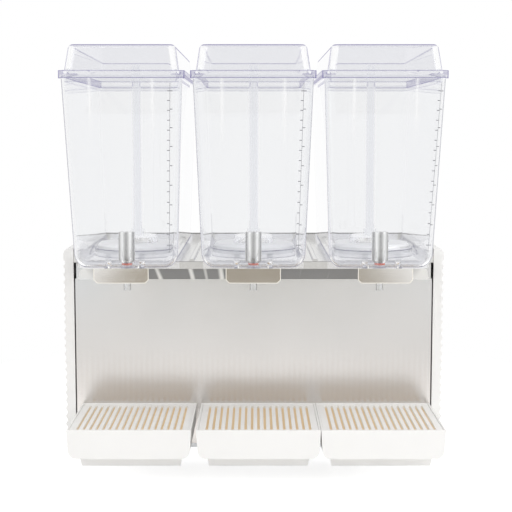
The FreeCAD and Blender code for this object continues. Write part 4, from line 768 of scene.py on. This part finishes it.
class DispenserSizes(bpy.types.PropertyGroup):
    """The sizes that the dressed dispenser adds to the CAD model's."""

    wall_low: length_property("Wall foot", "Height where the bowl's walls start", 0.339)
    wall_high: length_property("Wall top", "Height of the bowl's rim", 0.628)
    front_low: length_property("Front foot", "Depth of the bowl's front at its foot", -0.1975)
    front_high: length_property("Front top", "Depth of the bowl's front at its rim", -0.2385)
    half_low: length_property("Half width at foot", "Half the bowl's width below", 0.0785)
    half_high: length_property("Half width at rim", "Half the bowl's width above", 0.0895)
    bowl_pitch: length_property("Bowl pitch", "From one bowl's middle to the next", 0.194)
    valve_depth: length_property("Valve depth", "Depth of the valves' axes", -0.1735)
    basin_half: length_property("Basin half width", "Half width inside a tray", 0.085)
    basin_front: length_property("Basin front", "Depth of a basin's front wall", -0.2325)
    basin_floor: length_property("Basin floor", "Just under a basin's floor", 0.0561)
    basin_top: length_property("Basin top", "Height where a basin's tint ends", 0.0935)
    sump_half: length_property("Sump half width", "Half width inside a tray's foot", 0.0739)
    sump_front: length_property("Sump front", "Depth of a sump's front wall", -0.2014)
    sump_floor: length_property("Sump floor", "Just under a sump's floor", 0.0361)
    outlet_top: length_property("Outlet top", "Height where the outlets end", 0.3355)
    # Clear edges are drawn in painted edge shade
    drawn_low: length_property(
        "Drawn below", "Height below which hidden clear edges are drawn too", 0.395)
    # The bowls' streaks are painted highlights
    streak_offset: length_property(
        "Streak offset", "Distance of a bright streak from a bowl's axis", 0.046)
    streak_width: length_property("Streak width", "Half width of a bright streak", 0.004)
    streak_low: length_property(
        "Streak low end", "Height where a bright streak has faded away", 0.52)
    flange_low: length_property("Flange low", "Low edge of a lid's flange", 0.6235)
    flange_high: length_property("Flange high", "Top of a lid's flange", 0.6351)
    crest_height: length_property("Crest height", "Just under a lid's top", 0.6716)
    skirt_low: length_property("Skirt low", "Just above a lid skirt's lower edge", 0.6192)
    collar_top: length_property("Collar top", "Top of a bowl's collar", 0.3535)
    # The front sheet's darkening below the fade is painted shade, and the soffit's pale ends are
    # painted highlights
    panel_fade: length_property("Panel fade", "Height below which the front sheet darkens", 0.29)
    soffit_ends: length_property(
        "Soffit ends", "Distance from the middle where the soffit is pale", 0.225)
    collar_reach: length_property(
        "Collar reach", "Distance from a hub's axis to outside its collar", 0.077)
    hub_depth: length_property("Hub depth", "Depth of the hubs' axes", -0.0015)
    bowl_low: length_property("Bowl low", "Just above a bowl's lowest edge", 0.343)
    handle_half: length_property("Handle half width", "Half width of a handle", 0.0404)
    handle_low: length_property("Handle low", "Height of a handle's low edge", 0.324)
    handle_corner: length_property("Handle corner", "Cut corners of a handle", 0.005)
    # A handle's bright border is a painted highlight
    handle_border: length_property("Handle border", "Width of a bright border", 0.0011)
    # The mirrored slots are a painted reflection in the front sheet
    mirrored_pitch: length_property(
        "Mirrored pitch", "Pitch of the slots mirrored in the front sheet", 0.009)
    mirrored_top: length_property("Mirrored top", "Height where the mirrored slots fade away", 0.2)
    lug_inner: length_property("Lug inner", "Where a lug starts, off the axis", 0.0208)
    lug_outer: length_property("Lug outer", "Where a lug ends, off the axis", 0.0294)
    lug_depth: length_property("Lug depth", "Depth where the lugs start", -0.196)
    lug_top: length_property("Lug top", "Height above the handle lugs", 0.362)
    soffit_depth: length_property("Soffit depth", "Depth where the soffit starts", -0.0562)
    base_half: length_property("Base half width", "Half width of a bowl's base", 0.0785)
    roll_depth: length_property("Roll depth", "Depth of the deck's rolled edge", -0.1425)
    roll_height: length_property("Roll height", "Height of the rolled edge", 0.3434)
    corner: length_property("Bowl corner", "Round of the bowl's upright corners", 0.016)
    scale_feet: FloatVectorProperty(name="Scale feet", size=3, default=(0.0671, 0.0679, 0.0701),
                                    description="From each bowl's middle to the foot of its scale")
    scale_tops: FloatVectorProperty(name="Scale tops", size=3, default=(0.0722, 0.0743, 0.0817),
                                    description="From each bowl's middle to the top of its scale")
    scale_marks: IntProperty(name="Scale marks", description="Marks on the scale's left side",
                             default=16, min=2)
    mark_length: length_property("Mark length", "Length of one scale mark", 0.004)
    mark_stroke: length_property("Mark stroke", "Height of one scale mark", 0.0011)
    sheet_edge: length_property("Sheet edge", "Softening of cut sheet edges", 0.0003)
    plastic_edge: length_property("Plastic edge", "Softening of moulded edges", 0.0008)


def tone_property(label, words, default):
    """Give one colour setting."""
    return FloatVectorProperty(name=label, description=words, default=default, size=3,
                               subtype="COLOR", min=0.0, max=1.0)


class DispenserFinishes(bpy.types.PropertyGroup):
    """The colours of the finishes."""

    clear_tint: tone_property("Clear plastic", "Colour that the bowls lend", (0.94, 0.944, 0.95))
    lid_tint: tone_property("Clear lids", "Colour that the lids lend", (0.89, 0.893, 0.91))
    # The edge tones are painted edge shade, and the depth tone is a painted pale glow
    clear_edge: tone_property("Clear edges", "Clear plastic seen on edge", (0.19, 0.19, 0.26))
    lid_edge: tone_property("Lid edges", "Clear lids seen on edge", (0.24, 0.22, 0.42))
    clear_depth: tone_property("Clear depth", "Behind many clear walls", (0.97, 0.97, 0.99))
    outlet_edge: tone_property("Outlet edges", "Thin outlets seen on edge", (0.13, 0.13, 0.11))
    steel_tone: tone_property("Steel", "Brushed steel sheet", (0.79, 0.785, 0.77))
    handle_tone: tone_property("Handles", "Satin steel of the handles", (0.86, 0.845, 0.82))
    hub_tone: tone_property("Hubs", "Pale satin steel of the hubs", (0.97, 0.97, 0.99))
    polished_tone: tone_property("Polished steel", "Pistons and screws", (0.80, 0.80, 0.79))
    white_tone: tone_property("White plastic", "Sides, trays and grilles", (0.93, 0.92, 0.90))
    # The tone inside the trays is painted shade, and also feeds their faint painted glow
    painted_basin_tone: tone_property("Tray inside", "Tint inside the trays", (0.74, 0.62, 0.45))
    # The handles' borders are a painted highlight
    border_highlight_tone: tone_property("Handle borders", "Rolled borders of the handles",
                               (0.92, 0.88, 0.80))
    orange_tone: tone_property("Seat cups", "Silicone of the seat cups", (0.80, 0.13, 0.07))
    ink_tone: tone_property("Scale ink", "Printed scales", (0.20, 0.20, 0.22))


class DispenserStudio(bpy.types.PropertyGroup):
    """The camera and the light."""

    lens: FloatProperty(name="Lens", description="Focal length", default=85.0, min=1.0)
    camera_place: FloatVectorProperty(name="Camera", description="Place of the camera", size=3,
                                      default=(0.004, -2.0195, 0.548), subtype="TRANSLATION")
    camera_tilt: FloatProperty(name="Tilt", description="Turn of the camera from straight down",
                               default=radians(84.05), subtype="ANGLE")
    room_light: FloatProperty(name="Room light", description="Even light from all round",
                              default=0.72, min=0.0)
    key_power: FloatProperty(name="Main lamp", description="Power of the main lamp in watts",
                             default=21.5, min=0.0)
    fill_power: FloatProperty(name="Second lamp", description="Power of the second lamp in watts",
                              default=22.0, min=0.0)
    mat_tone: tone_property("Mat", "Mat behind the camera that the handles mirror",
                            (0.39, 0.35, 0.29))
    mat_edges: FloatVectorProperty(name="Mat edges", description="Left and right edge of the mat",
                                   size=2, default=(-0.555, 0.62))


# Operators

class DISPENSER_OT_bowls(bpy.types.Operator):
    """Finish the clear bowls and print their filling scales"""
    bl_idname = "dispenser.bowls"
    bl_label = "Bowls"

    def execute(self, context):
        for place in PLACES:
            dress(f"{place}_bowl", "clear_plastic")
        print_scales()
        return {"FINISHED"}


class DISPENSER_OT_lids(bpy.types.Operator):
    """Finish the clear lids"""
    bl_idname = "dispenser.lids"
    bl_label = "Lids"

    def execute(self, context):
        for place in PLACES:
            dress(f"{place}_lid", "clear_lid_plastic")
        return {"FINISHED"}


class DISPENSER_OT_pumps(bpy.types.Operator):
    """Finish the cooling hubs, pump covers, spray tubes, impellers and motors"""
    bl_idname = "dispenser.pumps"
    bl_label = "Spray pumps"

    def execute(self, context):
        for place in PLACES:
            dress(f"{place}_evaporator", "hub_steel", 0.0006)
            dress(f"{place}_pump_cover", "clear_plastic")
            dress(f"{place}_spray_tube", "clear_plastic")
            dress(f"{place}_impeller", "white_plastic", 0.0003)
            dress(f"{place}_drive_magnet", "magnet_coating", 0.0004)
        dress("bowl_gaskets", "gasket_rubber")
        dress("pump_motors", "grey_paint", 0.0008)
        return {"FINISHED"}


class DISPENSER_OT_valves(bpy.types.Operator):
    """Finish the valve pistons, seat cups, lever handles and their pins"""
    bl_idname = "dispenser.valves"
    bl_label = "Valves and handles"

    def execute(self, context):
        edge = context.scene.dispenser_sizes.sheet_edge
        for place in PLACES:
            dress(f"{place}_valve_piston", "piston_steel", edge)
            dress(f"{place}_seat_cup", "orange_silicone", edge)
            dress(f"{place}_handle", "handle_steel", edge * 3)
            dress(f"{place}_handle_pins", "clear_plastic", edge)
        return {"FINISHED"}


class DISPENSER_OT_cabinet(bpy.types.Operator):
    """Finish the deck, front panel, side and rear panels, base pan, screws and feet"""
    bl_idname = "dispenser.cabinet"
    bl_label = "Cabinet"

    def execute(self, context):
        edge = context.scene.dispenser_sizes.sheet_edge
        moulded = context.scene.dispenser_sizes.plastic_edge
        dress("deck", "deck_steel", edge)
        dress("front_panel", "panel_steel", edge)
        dress("left_side_panel", "white_plastic", moulded)
        dress("right_side_panel", "white_plastic", moulded)
        dress("rear_panel", "galvanised_sheet", edge)
        dress("base_pan", "galvanised_sheet", edge)
        dress("screws", "polished_steel", edge)
        dress("feet", "black_rubber", moulded)
        return {"FINISHED"}


class DISPENSER_OT_trays(bpy.types.Operator):
    """Finish the drip trays and their slotted grilles"""
    bl_idname = "dispenser.trays"
    bl_label = "Drip trays"

    def execute(self, context):
        moulded = context.scene.dispenser_sizes.plastic_edge
        for place in PLACES:
            dress(f"{place}_drip_tray", f"{place}_tray_plastic", moulded)
            dress(f"{place}_tray_grille", "white_plastic", moulded * 0.6)
        return {"FINISHED"}


class DISPENSER_OT_refrigeration(bpy.types.Operator):
    """Finish the compressor, condenser, fan and refrigerant lines"""
    bl_idname = "dispenser.refrigeration"
    bl_label = "Refrigeration"

    def execute(self, context):
        dress("compressor", "black_paint", 0.001)
        dress("condenser", "fin_aluminium")
        dress("condenser_fan", "black_plastic")
        dress("fan_motor", "grey_paint", 0.0008)
        dress("refrigerant_lines", "copper_tube")
        return {"FINISHED"}


class DISPENSER_OT_controls(bpy.types.Operator):
    """Finish the switches, thermostat, power inlet and the dial on the rear panel"""
    bl_idname = "dispenser.controls"
    bl_label = "Rear controls"

    def execute(self, context):
        dress("thermostat", "grey_plastic", 0.0008)
        dress("thermostat_knob", "black_plastic", 0.0004)
        dress("power_switch", "green_plastic", 0.0004)
        dress("pump_switch", "black_plastic", 0.0004)
        dress("switch_frames", "black_plastic", 0.0004)
        dress("power_inlet", "black_plastic", 0.0005)
        low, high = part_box("thermostat_knob")
        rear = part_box("rear_panel")[1].y
        baked("dial_marks", dial_tree(), {
            "X": (low.x + high.x) / 2, "Y": rear + INK_LIFT, "Z": (low.z + high.z) / 2,
        }, "cabinet")
        return {"FINISHED"}


class DISPENSER_OT_stage(bpy.types.Operator):
    """Set the pale floor, the soft lamps, the white room and the camera"""
    bl_idname = "dispenser.stage"
    bl_label = "Stage"

    def execute(self, context):
        scene = context.scene
        studio = scene.dispenser_studio
        scene.view_settings.view_transform = "Standard"
        add_floor()
        add_mat(studio)
        add_lamp("main_lamp", (-1.5, -1.9, 2.3), 2.2, studio.key_power)
        add_lamp("second_lamp", (1.9, -1.2, 1.7), 1.8, studio.fill_power)
        add_room(studio.room_light)
        add_camera(studio)
        return {"FINISHED"}


def add_floor():
    """Lay a pale floor that stays white where no shadow falls, and wholly white far off."""
    mesh = bpy.data.meshes.new("studio_floor")
    half = 30.0
    mesh.from_pydata([(-half, -half, 0), (half, -half, 0), (half, half, 0), (-half, half, 0)],
                     [], [(0, 1, 2, 3)])
    finish = Finish("studio_floor")
    matt = finish.node("ShaderNodeBsdfDiffuse", values={"Color": (0.92, 0.92, 0.92, 1)})
    both = finish.node("ShaderNodeAddShader", values={0: matt, 1: finish.glow(WHITE, 0.7)})
    across, depth = finish.axis("X"), finish.axis("Y")
    far = (across * across + depth * depth).root().above(0.55, 2.2)
    near_or_far = finish.blend(far, both, finish.glow(WHITE))
    mesh.materials.append(finish.close(finish.blend(finish.seen(), matt, near_or_far)))
    floor = bpy.data.objects.new("studio_floor", mesh)
    bpy.context.scene.collection.objects.link(floor)


def add_mat(studio):
    """Lay a mat on the floor behind the camera, out of sight but mirrored in polished plates."""
    left, right = studio.mat_edges
    far, near, lift = -6.0, -2.3, 0.002
    mesh = bpy.data.meshes.new("studio_mat")
    mesh.from_pydata([(left, far, lift), (right, far, lift), (right, near, lift),
                      (left, near, lift)], [], [(0, 1, 2, 3)])
    finish = Finish("studio_mat")
    across = finish.axis("X")
    tone = finish.mix(across.below(-0.2, 5.0), colour(studio.mat_tone), toned(studio.mat_tone, 1.1))
    tone = finish.mix(across.above(0.44, 6.5), tone, WHITE)
    mesh.materials.append(finish.close(finish.glow(tone)))
    mat = bpy.data.objects.new("studio_mat", mesh)
    mat.visible_camera = False
    mat.visible_diffuse = False
    mat.visible_transmission = False
    bpy.context.scene.collection.objects.link(mat)


def add_lamp(name, place, size, power):
    """Hang one soft square lamp that points at the dispenser."""
    data = bpy.data.lights.new(name, "AREA")
    data.energy = power
    data.size = size
    lamp = bpy.data.objects.new(name, data)
    lamp.location = place
    lamp.rotation_euler = (LAMPS_AIM - Vector(place)).to_track_quat("-Z", "Y").to_euler()
    bpy.context.scene.collection.objects.link(lamp)


def add_room(light):
    """Make the room: white to the eye and in metal, and softer where it lights the pieces."""
    world = bpy.data.worlds.new("studio_room")
    world.use_nodes = True
    bpy.context.scene.world = world
    graph = Graph(world.node_tree)
    seen = graph.seen()
    glow = graph.node("ShaderNodeBackground", values={
        "Color": WHITE, "Strength": seen + (1.0 - seen) * light})
    graph.node("ShaderNodeOutputWorld", values={"Surface": glow})


def add_camera(studio):
    """Stand the camera where the picture was taken from."""
    data = bpy.data.cameras.new("camera")
    data.lens = studio.lens
    data.sensor_width = 36.0
    camera = bpy.data.objects.new("camera", data)
    camera.location = studio.camera_place
    camera.rotation_euler = (studio.camera_tilt, 0.0, 0.0)
    bpy.context.scene.collection.objects.link(camera)
    bpy.context.scene.camera = camera


class DISPENSER_PT_panel(bpy.types.Panel):
    """Lists the dispenser's steps"""
    bl_idname = "DISPENSER_PT_panel"
    bl_label = "Drink dispenser"
    bl_space_type = "VIEW_3D"
    bl_region_type = "UI"
    bl_category = "Dispenser"

    def draw(self, context):
        for step in STEPS:
            self.layout.operator(step.bl_idname)


STEPS = (DISPENSER_OT_stage, DISPENSER_OT_bowls, DISPENSER_OT_lids, DISPENSER_OT_pumps,
         DISPENSER_OT_valves, DISPENSER_OT_cabinet, DISPENSER_OT_trays,
         DISPENSER_OT_refrigeration, DISPENSER_OT_controls)
GROUPS = {"dispenser_sizes": DispenserSizes, "dispenser_finishes": DispenserFinishes,
          "dispenser_studio": DispenserStudio}


def register():
    """Add the settings, steps and panel to Blender."""
    for kind in (*GROUPS.values(), *STEPS, DISPENSER_PT_panel):
        bpy.utils.register_class(kind)
    for name, kind in GROUPS.items():
        setattr(bpy.types.Scene, name, PointerProperty(type=kind))


def unregister():
    """Take them away again."""
    for name in GROUPS:
        delattr(bpy.types.Scene, name)
    for kind in reversed((*GROUPS.values(), *STEPS, DISPENSER_PT_panel)):
        bpy.utils.unregister_class(kind)


def main():
    """Build the dressed dispenser."""
    register()
    for step in STEPS:
        family, name = step.bl_idname.split(".")
        getattr(getattr(bpy.ops, family), name)()


if __name__ == "__main__":
    main()
